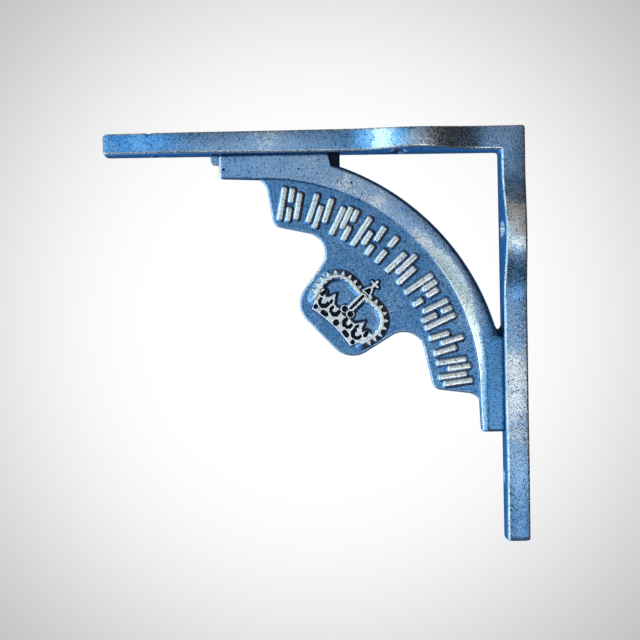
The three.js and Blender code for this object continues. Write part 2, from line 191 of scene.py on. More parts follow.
# Wear of a plate's faces, edges and sides. The fillings' values are painted shade that turns their hollow
# steps black.
FILL_PAINTED_SHADE = (-1.0, -1.0, -1.0)
WEB_WEAR = (0.12, 0.62, 0.3)
STUB_WEAR = (0.4, 0.8, 0.2)

# Marks, with a sloping side, a rounded edge and a slightly domed top
MARK_WIDTH = 2.3
MARK_LENGTH = 15.0
MARK_MARGIN = 4.6
MARK_CORNER_SHARE = 0.62
MARK_ARC_STEPS = 5
MARK_GAP = 0.35
MARK_ROOT = 0.3
MARK_EDGE = 0.3
MARK_DOME = 0.04
MARK_DOME_SHARE = 0.75
MARK_FOOT_WEAR = 0.1
MARK_SIDE_WEAR = 0.25
MARK_TOP_WEAR = 1.0

# Crown badge
CROWN_TURN = math.radians(45)
CROWN_DROP = 44.4
CROWN_SHIFT = 0.7
CROWN_GRID = 0.15
CROWN_HALF_SPAN = 20.4
CROWN_LOW = -14.4
CROWN_HIGH = 20.2
CROWN_ROOT = 0.3
CROWN_CREASE = 75.0

# Gate stub on the rib's shelf end
STUB_LENGTH = 4.0
STUB_HEIGHT = 3.3
STUB_HALF_DEPTH = 1.6
STUB_TIP_ROUND = 1.4
STUB_FOOT_ROUND = 0.8
STUB_TIP_LIFT = 0.5
STUB_FOOT_LIFT = 0.2
STUB_OVERLAP = 1.0
STUB_EDGE_ROUND = 0.5
STUB_SHOULDER = 0.3
STUB_GAP = 0.4

# Where the rib's two edge lines turn, worked out as in the solid
rib_inner_centre = RIB_FOOT + RIB_INNER_RADIUS
rib_root = CORNER_THICK - RIB_SINK
rib_inner_crest = rib_inner_centre * math.sqrt(2) - RIB_INNER_RADIUS
rib_outer_crest = rib_inner_crest - RIB_WIDTH
rib_outer_radius = (rib_outer_crest - rib_root * math.sqrt(2)) / (math.sqrt(2) - 1)
rib_outer_centre = rib_root + rib_outer_radius
rib_reach = rib_outer_centre + RIB_TAIL

# The web's outline: place and corner radius as shares of how far the rib's centre lies away
WEB_CORNERS = (
    (1.060, 0.100, 0.02),
    (1.060, 0.166, 0.02),
    (0.958, 0.174, 0.061),
    (0.929, 0.351, 0.033),
    (0.685, 0.405, 0.077),
    (0.8655, 0.648, 0.089),
    (0.658, 0.8635, 0.094),
    (0.402, 0.7065, 0.079),
    (0.3455, 0.967, 0.033),
    (0.173, 0.99, 0.056),
    (0.165, 1.085, 0.02),
    (0.100, 1.085, 0.02),
    (0.100, 0.100, 0.876),
)

# Groups of marks: angle in degrees, then bars as offset across, low end and high end
MARK_GROUPS = (
    (10.5, (-3.7, 0.0, 1.0), (0.0, 0.58, 1.0), (0.0, 0.0, 0.42), (3.7, 0.1, 0.9)),
    (19.2, (-3.5, 0.1, 1.0), (0.0, 0.0, 0.7), (3.5, 0.25, 1.0)),
    (26.9, (-3.0, 0.0, 0.9), (0.1, 0.3, 1.0), (3.1, 0.0, 0.45), (3.1, 0.62, 1.0)),
    (35.0, (-3.9, 0.0, 1.0), (-0.1, 0.2, 0.66), (3.8, 0.5, 1.0), (3.8, 0.0, 0.34)),
    (41.5, (0.0, 0.0, 0.46), (0.0, 0.62, 1.0)),
    (48.4, (-3.8, 0.0, 0.8), (0.0, 0.2, 1.0), (3.8, 0.0, 0.72)),
    (57.1, (-3.4, 0.0, 1.0), (0.0, 0.5, 1.0), (3.4, 0.0, 0.34), (3.4, 0.5, 0.9)),
    (65.1, (-3.7, 0.16, 1.0), (0.0, 0.0, 0.5), (0.0, 0.66, 1.0), (3.7, 0.0, 1.0)),
    (73.5, (-3.6, 0.0, 0.62), (0.0, 0.3, 1.0), (3.6, 0.0, 0.7)),
    (82.4, (-4.9, 0.0, 0.9), (-1.6, 0.32, 1.0), (1.7, 0.0, 0.86), (5.0, 0.12, 1.0)),
)

# The camera that the photograph was taken with, fitted to the arms' edges
CAMERA_PLACE = (-75.53 * MM, -615.07 * MM, 29.72 * MM)
CAMERA_YAW = math.radians(1.729)
CAMERA_PITCH = math.radians(-2.036)
CAMERA_ROLL = math.radians(1.122)
CAMERA_LENS = 75.375
SENSOR_WIDTH = 36.0


class BracketSettings(bpy.types.PropertyGroup):
    """Sizes and colours of the bracket that a user may change."""

    edge_round: FloatProperty(
        name="Edge rounding", description="Radius of the arms' worn inner edges",
        default=1.1 * MM, min=0.1 * MM, unit="LENGTH", precision=5)
    rib_crown: FloatProperty(
        name="Rib crown", description="How far the rib's middle stands above its edges",
        default=0.9 * MM, min=0.0, unit="LENGTH", precision=5)
    web_round: FloatProperty(
        name="Web edge rounding", description="Radius of the web's outline edges",
        default=0.8 * MM, min=0.1 * MM, unit="LENGTH", precision=5)
    mark_rise: FloatProperty(
        name="Mark rise", description="How far the marks stand above the web",
        default=1.1 * MM, min=0.1 * MM, unit="LENGTH", precision=5)
    crown_rise: FloatProperty(
        name="Crown rise", description="How far the crown badge stands above the web",
        default=1.7 * MM, min=0.1 * MM, unit="LENGTH", precision=5)
    recess_colour: FloatVectorProperty(
        name="Recess colour", description="Iron in the hollows", subtype="COLOR", size=3,
        default=(0.10, 0.26, 0.50), min=0.0, max=1.0)
    face_colour: FloatVectorProperty(
        name="Face colour", description="Burnished iron on the broad faces", subtype="COLOR", size=3,
        default=(0.34, 0.48, 0.68), min=0.0, max=1.0)
    # Also the colour of the painted highlights on the arms and the rib's ridge
    worn_and_highlight_colour: FloatVectorProperty(
        name="Worn colour", description="Rubbed bright iron on raised tops and edges",
        subtype="COLOR", size=3, default=(0.95, 0.91, 0.88), min=0.0, max=1.0)
    # Also the colour of the painted shade in corners, on the rib, in the fillings and in the crown's
    # hollows
    pit_and_shade_colour: FloatVectorProperty(
        name="Pit colour", description="Dark scale in pits and corners", subtype="COLOR", size=3,
        default=(0.012, 0.016, 0.025), min=0.0, max=1.0)
    # The backdrop glows in this colour, with a painted pool of light toward the view's middle
    backdrop_colour: FloatVectorProperty(
        name="Backdrop colour", description="Pale paper behind the bracket", subtype="COLOR", size=3,
        default=(1.0, 1.0, 1.0), min=0.0, max=1.0)
    light_level: FloatProperty(
        name="Light level", description="Strength of the studio light", default=1.0, min=0.0)


class Value:
    """A node's output that arithmetic works on by adding Math nodes."""

    def __init__(self, graph, socket):
        self.graph = graph
        self.socket = socket

    def math(self, operation, *values, clamp=False):
        settings = {"operation": operation, "use_clamp": clamp}
        return self.graph.node("ShaderNodeMath", settings, dict(enumerate(values)))

    def __add__(self, other):
        return self.math("ADD", self, other)

    def __radd__(self, other):
        return self.math("ADD", other, self)

    def __sub__(self, other):
        return self.math("SUBTRACT", self, other)

    def __rsub__(self, other):
        return self.math("SUBTRACT", other, self)

    def __mul__(self, other):
        return self.math("MULTIPLY", self, other)

    def __rmul__(self, other):
        return self.math("MULTIPLY", other, self)

    def clamped(self):
        return self.math("ADD", self, 0.0, clamp=True)

    def eased(self, low, high, start=0.0, end=1.0):
        """Turns smoothly from start to end while this value goes from low to high."""
        sockets = {"Value": self, "From Min": low, "From Max": high, "To Min": start, "To Max": end}
        return self.graph.node("ShaderNodeMapRange", {"interpolation_type": "SMOOTHSTEP"}, sockets)


class Graph:
    """A node tree that nodes are added to by type, settings and socket values."""

    def __init__(self, tree):
        self.tree = tree
        tree.nodes.clear()

    def node(self, kind, settings=None, sockets=None, output=0):
        made = self.tree.nodes.new(kind)
        for name, value in (settings or {}).items():
            setattr(made, name, value)
        for name, value in (sockets or {}).items():
            if isinstance(value, Value):
                self.tree.links.new(value.socket, made.inputs[name])
            else:
                made.inputs[name].default_value = value
        return Value(self, made.outputs[output]) if len(made.outputs) else made

    def mix(self, share, first, second):
        """A colour between two colours."""
        sockets = {MIX_SHARE: share, MIX_FIRST: colour4(first), MIX_SECOND: colour4(second)}
        return self.node("ShaderNodeMix", {"data_type": "RGBA"}, sockets, MIX_RESULT)

    def vector(self, operation, first, second, output=0):
        sockets = {0: first, 1: second}
        return self.node("ShaderNodeVectorMath", {"operation": operation}, sockets, output)


# A Mix node's sockets for colours, by their places among those for all kinds of value
MIX_SHARE, MIX_FIRST, MIX_SECOND, MIX_RESULT = 0, 6, 7, 2


def colour4(colour):
    """A colour with its alpha, or a node's colour as it is."""
    return colour if isinstance(colour, Value) else (*colour[:3], 1.0)


def speckle(graph, place, per_mm, detail=2.0, roughness=0.5):
    """Noise with so many features to a millimetre."""
    sockets = {"Vector": place, "Scale": per_mm / MM, "Detail": detail, "Roughness": roughness}
    return graph.node("ShaderNodeTexNoise", {}, sockets)


# The iron's noises in features to a millimetre, from fine grain to broad clouds
GRAIN_PER_MM = 1.2
PORES_PER_MM = 0.75
MOTTLE_PER_MM = 0.4
CLOUDS_PER_MM = 0.09
# How far the painted shade spreads from a corner, and how deep the surface's bumps look
CORNER_SHADE_REACH = 1.8 * MM
BUMP_DEPTH = 0.14 * MM
# Colour of the iron's reflection where it is seen at a flat angle
GRAZING_TINT = (0.26, 0.35, 0.46)


def iron_material(settings):
    """Burnished cast iron: pale where it is rubbed, blue in the hollows, pitted and grained, with painted
    shade in corners and painted highlights and shade carried by the points' wear.
    """
    name = "burnished_iron"
    if name in bpy.data.materials:
        return bpy.data.materials[name]
    material = bpy.data.materials.new(name)
    material.use_nodes = True
    graph = Graph(material.node_tree)
    place = graph.node("ShaderNodeTexCoord", output="Object")
    wear = graph.node("ShaderNodeAttribute", {"attribute_name": "wear"}, output="Fac")
    open_air = graph.node("ShaderNodeAmbientOcclusion", {"samples": 8}, {"Distance": CORNER_SHADE_REACH}, "AO")
    grain = speckle(graph, place, GRAIN_PER_MM, 2.0, 0.6)
    mottle = speckle(graph, place, MOTTLE_PER_MM, 3.0, 0.65)
    clouds = speckle(graph, place, CLOUDS_PER_MM, 2.0, 0.5)
    pores = speckle(graph, place, PORES_PER_MM, 2.0, 0.7)
    # Wear with the painted highlights and shade it carries, broken up by grain, mottle and clouds
    rubbed_and_painted_light = (wear + (grain - 0.5) * 0.9 + (mottle - 0.5) * 0.5 + (clouds - 0.5) * 0.5).clamped()
    colour = graph.mix(rubbed_and_painted_light.eased(0.0, 0.6), settings.recess_colour, settings.face_colour)
    colour = graph.mix(rubbed_and_painted_light.eased(0.62, 0.95), colour, settings.worn_and_highlight_colour)
    pits = pores.eased(0.63, 0.72) * 0.6
    # Painted shade darkens the corners that the ambient occlusion finds
    corners = (1.0 - open_air).eased(0.25, 0.7) * 0.95
    freckles = grain.eased(0.52, 0.3) * (0.5 - wear.clamped() * 0.3)
    # Negative wear paints black: scale in chips and blowholes, and painted shade on the rib, in the
    # fillings and in the crown's hollows
    scale_and_painted_shade = (0.0 - wear).clamped()
    dark = (pits + corners + freckles + scale_and_painted_shade).clamped()
    colour = graph.mix(dark, colour, settings.pit_and_shade_colour)
    roughness = 0.24 + (grain - 0.5) * 0.2 + (mottle - 0.5) * 0.14 + corners * 0.25
    bumps = grain * 0.55 + mottle * 0.9 - pits * 1.2
    normal = graph.node("ShaderNodeBump", {}, {
        "Strength": 0.6, "Distance": BUMP_DEPTH, "Height": bumps})
    shader = graph.node("ShaderNodeBsdfPrincipled", {}, {
        "Base Color": colour, "Metallic": 0.92, "Roughness": roughness, "Normal": normal,
        "Specular Tint": colour4(GRAZING_TINT)})
    graph.node("ShaderNodeOutputMaterial", {}, {"Surface": shader})
    return material


def fillet(before, corner, after, radius, steps=ARC_STEPS):
    """Points of the arc that rounds a corner between two straight lines."""
    before, corner, after = (np.array(point, float) for point in (before, corner, after))
    if radius <= 0:
        return [corner]
    back = (before - corner) / np.linalg.norm(before - corner)
    ahead = (after - corner) / np.linalg.norm(after - corner)
    half_angle = math.acos(np.clip(back @ ahead, -1, 1)) / 2
    middle = corner + (back + ahead) / np.linalg.norm(back + ahead) * radius / math.sin(half_angle)
    start = corner + back * radius / math.tan(half_angle) - middle
    end = corner + ahead * radius / math.tan(half_angle) - middle
    sweep = math.pi - 2 * half_angle
    shares = np.linspace(0, 1, steps + 1)
    return [middle + (math.sin((1 - share) * sweep) * start + math.sin(share * sweep) * end)
            / math.sin(sweep) for share in shares]


def quarter(steps=ARC_STEPS):
    """Places round a quarter circle, each as 1 less the sine and 1 less the cosine of its turn."""
    return [(1 - math.sin(turn), 1 - math.cos(turn)) for turn in np.linspace(0, math.pi / 2, steps + 1)]


def rounded_outline(corners, steps=ARC_STEPS):
    """A closed outline from rows of place and corner radius."""
    points = []
    for index, (across, up, radius) in enumerate(corners):
        before = corners[index - 1][:2]
        after = corners[(index + 1) % len(corners)][:2]
        points.extend(fillet(before, (across, up), after, radius, steps))
    return np.array(points)


def resampled(outline, gap):
    """The closed outline with points at even gaps, starting at its first point."""
    closed = np.vstack([outline, outline[:1]])
    along = np.concatenate([[0], np.cumsum(np.linalg.norm(np.diff(closed, axis=0), axis=1))])
    count = max(OUTLINE_LEAST_POINTS, int(along[-1] / gap))
    places = np.arange(count) * along[-1] / count
    return np.column_stack([np.interp(places, along, closed[:, axis]) for axis in (0, 1)])


def inset(outline, distance):
    """The outline moved inward, with mitred corners."""
    edges = np.roll(outline, -1, axis=0) - outline
    edges /= np.linalg.norm(edges, axis=1)[:, None]
    area = np.sum(outline[:, 0] * np.roll(outline[:, 1], -1) - outline[:, 1] * np.roll(outline[:, 0], -1))
    normals = np.column_stack([-edges[:, 1], edges[:, 0]]) * math.copysign(1, area)
    before = np.roll(normals, 1, axis=0)
    mitre = (normals + before) / (1 + np.sum(normals * before, axis=1))[:, None]
    return outline + mitre * distance


def loft(rings):
    """Faces that skin rings of points and close both ends."""
    count, size = len(rings), len(rings[0])
    faces = []
    for ring in range(count - 1):
        for side in range(size):
            a = ring * size + side
            b = ring * size + (side + 1) % size
            faces.append((a, b, b + size, a + size))
    faces.append(tuple(range(size - 1, -1, -1)))
    faces.append(tuple(range((count - 1) * size, count * size)))
    return faces


def plate(outline, rows):
    """Rings of a flat form: the outline in X and Z, at each row's inset and depth."""
    rings = []
    for distance, depth, _ in rows:
        edge = inset(outline, distance)
        rings.append(np.column_stack([edge[:, 0], np.full(len(edge), depth), edge[:, 1]]))
    wear = [np.full(len(outline), row[2]) for row in rows]
    return np.array(rings), np.array(wear)


# Where a plate's face has a second ring of points, as a share of its shoulder
SHOULDER_SHARE = 0.3


def rounded_rows(half_depth, radius, shoulder, face_wear, edge_wear, side_wear):
    """Rows for a plate whose front and back edges are rounded."""
    arc = [(radius * near, half_depth - radius * down) for near, down in quarter()]
    insets = (radius + shoulder, radius + SHOULDER_SHARE * shoulder)
    rows = [(distance, -half_depth, face_wear) for distance in insets]
    rows += [(distance, -depth, edge_wear) for distance, depth in arc]
    rows += [(0.0, 0.0, side_wear)]
    rows += [(distance, depth, edge_wear) for distance, depth in reversed(arc)]
    rows += [(distance, half_depth, face_wear) for distance in reversed(insets)]
    return rows


def mesh_object(name, points, faces, wear):
    """An object of faces on points in millimetres from the outer corner, with the wear and painted light
    and shade of each point.
    """
    places = np.asarray(points, float).reshape(-1, 3) * MM
    places[:, 2] += highest.z
    mesh = bpy.data.meshes.new(name)
    mesh.from_pydata(places.tolist(), [], faces)
    worn = mesh.attributes.new("wear", "FLOAT", "POINT")
    worn.data.foreach_set("value", np.asarray(wear, np.float32).ravel())
    made = bpy.data.objects.new(name, mesh)
    bpy.context.scene.collection.objects.link(made)
    return made


def make_piece(name, points, faces, wear, settings, crease=40.0):
    """A mesh piece of the casting in its place, finished and riding on the frame."""
    piece = mesh_object(name, points, faces, wear)
    piece.data.validate()
    piece.data.materials.append(iron_material(settings))
    shade(piece, crease)
    face_outward(piece)
    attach(piece, BODY)
    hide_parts(NODE)
    return piece


def make_plate(name, outline, rows, settings):
    """A flat piece of the casting from its outline and the rows that round its edges."""
    rings, wear = plate(outline, rows)
    make_piece(name, rings, loft(rings), wear, settings)


def shade(piece, crease):
    """Shades a piece smooth except where it turns by more than the crease's degrees."""
    piece.data.shade_smooth()
    piece.data.set_sharp_from_angle(angle=math.radians(crease))


def face_outward(piece):
    """Turns all faces of a closed mesh outward."""
    work = bmesh.new()
    work.from_mesh(piece.data)
    bmesh.ops.recalc_face_normals(work, faces=work.faces)
    work.to_mesh(piece.data)
    work.free()


def cut_with(piece, cutters):
    """Cuts the cutters out of a piece and removes them."""
    for cutter in cutters:
        modifier = piece.modifiers.new("cut", "BOOLEAN")
        modifier.object = cutter
        modifier.operation = "DIFFERENCE"
        modifier.solver = "EXACT"
    bpy.context.view_layer.update()
    evaluated = piece.evaluated_get(bpy.context.evaluated_depsgraph_get())
    mesh = bpy.data.meshes.new_from_object(evaluated)
    piece.modifiers.clear()
    old = piece.data
    piece.data = mesh
    mesh.name = old.name
    bpy.data.meshes.remove(old)
    for cutter in cutters:
        bpy.data.objects.remove(cutter)


def arm_half_depth(along):
    """Half the depth of an arm at a distance from the outer corner."""
    half = ARM_HALF_DEPTH
    for at, reach, rise in LOBES:
        share = min(1.0, abs(along - at) / reach)
        half += rise * math.cos(share * math.pi / 2) ** 2
    return half


def arm_thick(along, length, end_thick):
    """An arm's thickness at a distance from the outer corner."""
    return CORNER_THICK + (end_thick - CORNER_THICK) * along / length


def arm_section(half, thick, shrink, edge_round, rubbed_and_painted_light):
    """One section of an arm: rows of depth, distance in from the outer face, and wear, whose face values
    also paint highlights and shade.
    """
    half = half - shrink
    outer = shrink

    def flank(depth):
        return thick - FLANK_SWELL * (abs(depth) + shrink) ** 2 - shrink

    inner = flank(half)
    slope_end = half - 3 * edge_round
    side = inner - outer
    near_front, near_back = (-slope_end, flank(slope_end)), (slope_end, flank(slope_end))
    outer_front, inner_front = (-half, outer), (-half, inner)
    inner_back, outer_back = (half, inner), (half, outer)
    rows = [(*point, FRONT_EDGE_WEAR)
            for point in fillet(outer_back, outer_front, inner_front, FACE_EDGE_ROUND)]
    rows += [(-half, outer + side * share, rubbed_and_painted_light) for share in FACE_SHARES]
    worn_edge = fillet(outer_front, inner_front, near_front, edge_round)
    edge_wear = np.linspace(1.0, FLANK_WEAR, len(worn_edge))
    rows += [(*point, wear) for point, wear in zip(worn_edge, edge_wear)]
    rows += [(depth, flank(depth), FLANK_WEAR) for depth in np.linspace(-slope_end, slope_end, FLANK_STEPS)]
    rows += [(*point, BACK_INNER_EDGE_WEAR)
             for point in fillet(near_back, inner_back, outer_back, edge_round)]
    rows += [(half, outer + side * share, BACK_WEAR) for share in reversed(FACE_SHARES)]
    rows += [(*point, BACK_OUTER_EDGE_WEAR)
             for point in fillet(inner_back, outer_back, outer_front, FACE_EDGE_ROUND)]
    rows += [(share * half, outer, BEARING_WEAR) for share in BEARING_SHARES]
    depth, inward, wear = np.transpose(rows)
    near_face = np.clip(np.abs(depth) - half + 1, 0, 1)
    depth = depth - np.sign(depth) * near_face * ARM_BOW * (2 * (inward - outer) / side - 1) ** 2
    return np.column_stack([depth, inward, wear])


def arm_stations(length, start):
    """Distances along an arm from start to its tip, with the tip's rounding as shrink."""
    body = np.linspace(start, length - TIP_ROUND, int((length - start) / STATION_GAP))
    tip = [(length - TIP_ROUND * near, TIP_ROUND * down) for near, down in quarter(ARC_STEPS + 1)[1:]]
    return [(along, 0.0) for along in body] + tip


def arm_rings(settings):
    """Rings from the shelf arm's tip round the outer corner to the wall arm's tip."""
    edge_round = settings.edge_round / MM
    start = CORNER_THICK + CORNER_FILLET

    def straight(rib_rub_and_painted_light, length, end_thick, turned):
        rings = []
        for along, shrink in arm_stations(length, start):
            thick = arm_thick(along, length, end_thick)
            rubbed_and_painted_light = np.interp(along, *np.transpose(rib_rub_and_painted_light))
            section = arm_section(arm_half_depth(along), thick, shrink, edge_round, rubbed_and_painted_light)
            depth, inward, wear = section.T
            away = np.full(len(section), -along)
            place = (-inward, depth, away) if turned else (away, depth, -inward)
            rings.append((np.column_stack(place), wear))
        return rings

    section = arm_section(ARM_HALF_DEPTH, CORNER_THICK, 0.0, edge_round, SHELF_RUB_AND_PAINTED_LIGHT[0][1])
    depth, inward, wear = section.T
    outer_path = [np.array((-start * share, 0.0)) for share in CORNER_SHARES]
    outer_path += fillet((-start, 0), (0, 0), (0, -start), CORNER_ROUND, CORNER_ARC_STEPS)
    outer_path += [np.array((0.0, -start * share)) for share in reversed(CORNER_SHARES)]
    inner_path = fillet((-start * 2, -CORNER_THICK), (-CORNER_THICK, -CORNER_THICK),
                        (-CORNER_THICK, -start * 2), CORNER_FILLET, len(outer_path) + 1)[1:-1]
    corner = []
    for outside, inside in zip(outer_path, inner_path):
        share = inward[:, None] / CORNER_THICK
        flat = outside + (inside - outside) * share
        corner.append((np.column_stack([flat[:, 0], depth, flat[:, 1]]), wear))
    rings = straight(SHELF_RUB_AND_PAINTED_LIGHT, *SHELF_ARM)[::-1] + corner + straight(WALL_RUB_AND_PAINTED_LIGHT, *WALL_ARM)
    return np.array([ring[0] for ring in rings]), np.array([ring[1] for ring in rings])


def screw_cutter(along, depth, length, end_thick, turned):
    """A screw hole with its countersink on the arm's inner flank."""
    flank = arm_thick(along, length, end_thick) - FLANK_SWELL * depth * depth
    beyond = SINK_RADIUS
    profile = [(SCREW_RADIUS, -beyond), (SCREW_RADIUS, flank - SINK_DEPTH),
               (SINK_RADIUS, flank), (SINK_RADIUS, flank + beyond)]
    turns = np.arange(HOLE_SIDES) * 2 * math.pi / HOLE_SIDES
    rings = []
    for radius, inward in profile:
        away = -along + radius * np.cos(turns)
        side = depth + radius * np.sin(turns)
        inside = np.full(HOLE_SIDES, -inward)
        rings.append(np.column_stack((inside, side, away) if turned else (away, side, inside)))
    return cutter_from(rings, FLANK_WEAR)


def cutter_from(rings, wear):
    """A closed form to cut with, which leaves its wear on the cut."""
    points = np.vstack(rings)
    cutter = mesh_object("cutter", points, loft(rings), np.full(len(points), wear))
    face_outward(cutter)
    return cutter


# Chips in the arms' edges: middle, half sizes along X, Y and Z, and turn about Y in degrees
CHIPS = (
    ((-170.3, -8.0, 0.35), (2.1, 3.4, 1.5), 8.0),
    ((-166.6, -7.9, -10.6), (1.1, 1.0, 0.6), 0.0),
    ((-188.4, -7.7, -10.5), (1.6, 1.0, 0.5), 0.0),
    ((-156.5, -7.7, -10.9), (1.3, 1.2, 0.6), -5.0),
    ((-112.0, -7.6, -11.3), (1.0, 0.9, 0.4), 0.0),
    ((0.3, -7.8, -158.9), (0.9, 1.4, 1.3), 0.0),
    ((0.3, -7.8, -167.0), (0.7, 1.2, 1.1), 10.0),
    ((0.3, -7.8, -178.0), (0.6, 1.0, 1.0), 0.0),
)
# Blowholes in the rib's front: place and radius, and how deep they all are
RIB_PITS = (
    (-136.6, -16.9, 0.62),
    (-124.9, -18.3, 0.3),
    (-110.7, -17.9, 0.3),
    (-107.4, -22.0, 0.42),
    (-102.5, -17.3, 0.34),
    (-94.0, -19.4, 0.3),
    (-78.4, -24.0, 0.45),
    (-73.9, -29.5, 0.34),
    (-75.3, -31.6, 0.3),
)
RIB_PIT_DEPTH = 0.8
RIB_PIT_MIDDLE = 0.1
# The lump that breaks a chip or a blowhole out: its points, its roughness and the wear it leaves
LUMP_SIDES = 10
LUMP_RINGS = 7
LUMP_END = 0.96
LUMP_ROUGHNESS = 0.14
LUMP_LOBES = 3
LUMP_TWIST = 2.1
LUMP_WEAR = -0.85


def chip_cutter(middle, sizes, degrees):
    """A rough lump that breaks a chip out of an edge."""
    turns = np.arange(LUMP_SIDES) * 2 * math.pi / LUMP_SIDES
    turn = math.radians(degrees)
    cos, sin = math.cos(turn), math.sin(turn)
    rings = []
    for step, lift in enumerate(np.linspace(-LUMP_END, LUMP_END, LUMP_RINGS)):
        rough = 1 + LUMP_ROUGHNESS * np.sin(turns * LUMP_LOBES + step * LUMP_TWIST)
        radius = math.sqrt(1 - lift * lift) * rough
        ring = np.column_stack([radius * np.cos(turns), np.full(LUMP_SIDES, lift), radius * np.sin(turns)])
        x, y, z = (ring * sizes).T
        rings.append(np.column_stack([x * cos + z * sin, y, z * cos - x * sin]) + middle)
    return cutter_from(rings, LUMP_WEAR)


def rib_pairs():
    """Pairs of inner and outer edge points from the shelf end to the wall end."""
    end_foot = RIB_FOOT - RIB_END_TAPER
    first = (np.array((-rib_reach, -end_foot)), np.array((-rib_reach, -rib_root)))
    start = (np.array((-rib_inner_centre, -RIB_FOOT)), np.array((-rib_outer_centre, -rib_root)))
    pairs = []
    for share in np.linspace(0, 1, RIB_TAIL_STATIONS, endpoint=False):
        pairs.append(tuple(end + (near - end) * share for end, near in zip(first, start)))
    for turn in np.linspace(0, math.pi / 2, RIB_STATIONS):
        way = np.array((math.sin(turn), math.cos(turn)))
        outer = way * rib_outer_radius - rib_outer_centre
        for axis, length in enumerate((SHELF_FILL_LENGTH, WALL_FILL_LENGTH)):
            if -outer[axis] > rib_outer_centre - length + FILL_STEP:
                outer[1 - axis] = -rib_root
        pairs.append((way * RIB_INNER_RADIUS - rib_inner_centre, outer))
    tail = [tuple(point[::-1] for point in pair) for pair in pairs[:RIB_TAIL_STATIONS]]
    return pairs + tail[::-1]


def rib_face(width, lift, crest, rib_rub_and_painted_light):
    """The rib's front from its foot on the web to the parting line: side, depth, and wear with painted
    highlight and shade.
    """
    foot, top, reach = RIB_FOOT_FILLET, RIB_EDGE_DEPTH, RIB_INNER_ROUND
    high = width - RIB_OUTER_BEVEL
    middle = min(crest * RIB_WIDTH, high - RIB_CREST_ROOM)
    outer = top + lift * (1 - RIB_OUTER_FALL)
    rows = [(-foot, WEB_HALF_DEPTH - RIB_FOOT_SINK, RIB_ROOT_WEAR)]
    rows += [(-foot * near, WEB_HALF_DEPTH + foot * down, RIB_FOOT_WEAR) for near, down in quarter()]
    edge_wear = RIB_EDGE_WEAR + (1 - RIB_EDGE_WEAR) * min(1.0, lift)
    rows += [(reach * down, top - reach * near, edge_wear) for near, down in quarter()]
    for share in np.linspace(0, 1, RIB_FACE_STEPS + 1)[1:]:
        depth = top + lift * (1 - (1 - share) ** RIB_FALL_POWER)
        # Painted highlight brightens the ridge's inner slope
        painted_highlight = RIDGE_PAINTED_HIGHLIGHT * lift * (1 - share ** 2)
        rows.append((reach + (middle - reach) * share, depth, min(1.0, rib_rub_and_painted_light + painted_highlight)))
    for share in np.linspace(0, 1, RIB_FACE_STEPS // 2 + 1)[1:]:
        depth = top + lift * (1 - RIB_OUTER_FALL * share ** 2)
        # Painted shade dulls and blackens the ridge's outer slope
        wear = rib_rub_and_painted_light * (1 - RIDGE_PAINTED_DULLING * lift * share) - RIDGE_PAINTED_SHADE * lift * share
        rows.append((middle + (high - middle) * share, depth, wear))
    # The outer bevel and side are painted near black as shade
    for near, down in quarter()[1:]:
        rows.append((width - RIB_OUTER_BEVEL * near, outer - RIB_OUTER_BEVEL * down, RIB_BEVEL_PAINTED_SHADE))
    rows.append((width, RIB_PARTING_DEPTH, RIB_SIDE_PAINTED_SHADE))
    return np.array(rows)


def rib_rings(settings):
    """Sections across the rib, rounded off at both of its ends."""
    crown = settings.rib_crown / MM
    pairs = rib_pairs()
    run = np.linspace(0, 1, len(pairs))
    lifts, crests, rib_rubs_and_painted_light = (np.interp(run, *np.transpose(rows)) for rows in (RIB_LIFT, RIB_CREST, RIB_RUB_AND_PAINTED_LIGHT))
    rings, wear_and_painted_light_lists = [], []

    def ring(index, shrink=0.0, shift=0.0, bright=0.0):
        inner, outer = pairs[index]
        width = np.linalg.norm(outer - inner)
        side, depth, wear = rib_face(width, crown * lifts[index], crests[index], rib_rubs_and_painted_light[index]).T
        side = np.clip(side, side[0] + shrink, None)
        depth = np.maximum(depth - shrink, RIB_LEAST_DEPTH)
        at = inner + (outer - inner) / width * side[:, None] + shift
        front = np.column_stack([at[:, 0], -depth, at[:, 1]])
        back = np.column_stack([at[:, 0], depth, at[:, 1]])[::-1]
        rings.append(np.vstack([front, back]))
        wear = np.maximum(wear, bright)
        wear_and_painted_light_lists.append(np.concatenate([wear, wear[::-1] * RIB_BACK_WEAR_SHARE]))

    rounding = [(RIB_END_ROUND * down, near) for near, down in quarter()[:0:-1]]
    shelf_end, wall_end = np.array((RIB_END_ROUND, 0.0)), np.array((0.0, RIB_END_ROUND))
    for shrink, share in rounding:
        ring(0, shrink, shelf_end * share, RIB_END_WEAR)
    ring(0, 0.0, shelf_end)
    for index in range(1, len(pairs) - 1):
        ring(index)
    ring(-1, 0.0, wall_end)
    for shrink, share in reversed(rounding):
        ring(-1, shrink, wall_end * share)
    return np.array(rings), np.array(wear_and_painted_light_lists)


def step_outline(length, turned):
    """The recessed step that ends the filled corner between the rib and an arm."""
    near = rib_outer_centre - length
    far = near + FILL_STEP + FILL_OVERLAP

    def under(away):
        return math.sqrt(rib_outer_radius ** 2 - (rib_outer_centre - away) ** 2) - rib_outer_centre

    top = -CORNER_THICK + FILL_TOP_SINK
    corners = [(-near, top), (-far, top), (-far, under(far) - RIB_OUTER_BEVEL),
               (-near, under(near) - RIB_OUTER_BEVEL)]
    hollow = WALL_STEP_HOLLOW if turned else SHELF_STEP_HOLLOW
    low, high = under(near) + HOLLOW_FOOT_SINK, -CORNER_THICK + HOLLOW_TOP_SINK
    curve = [(-near - hollow * 4 * share * (1 - share), low + (high - low) * share)
             for share in np.linspace(0, 1, HOLLOW_STEPS)]
    outline = np.array(corners + curve)
    return outline[:, ::-1] if turned else outline


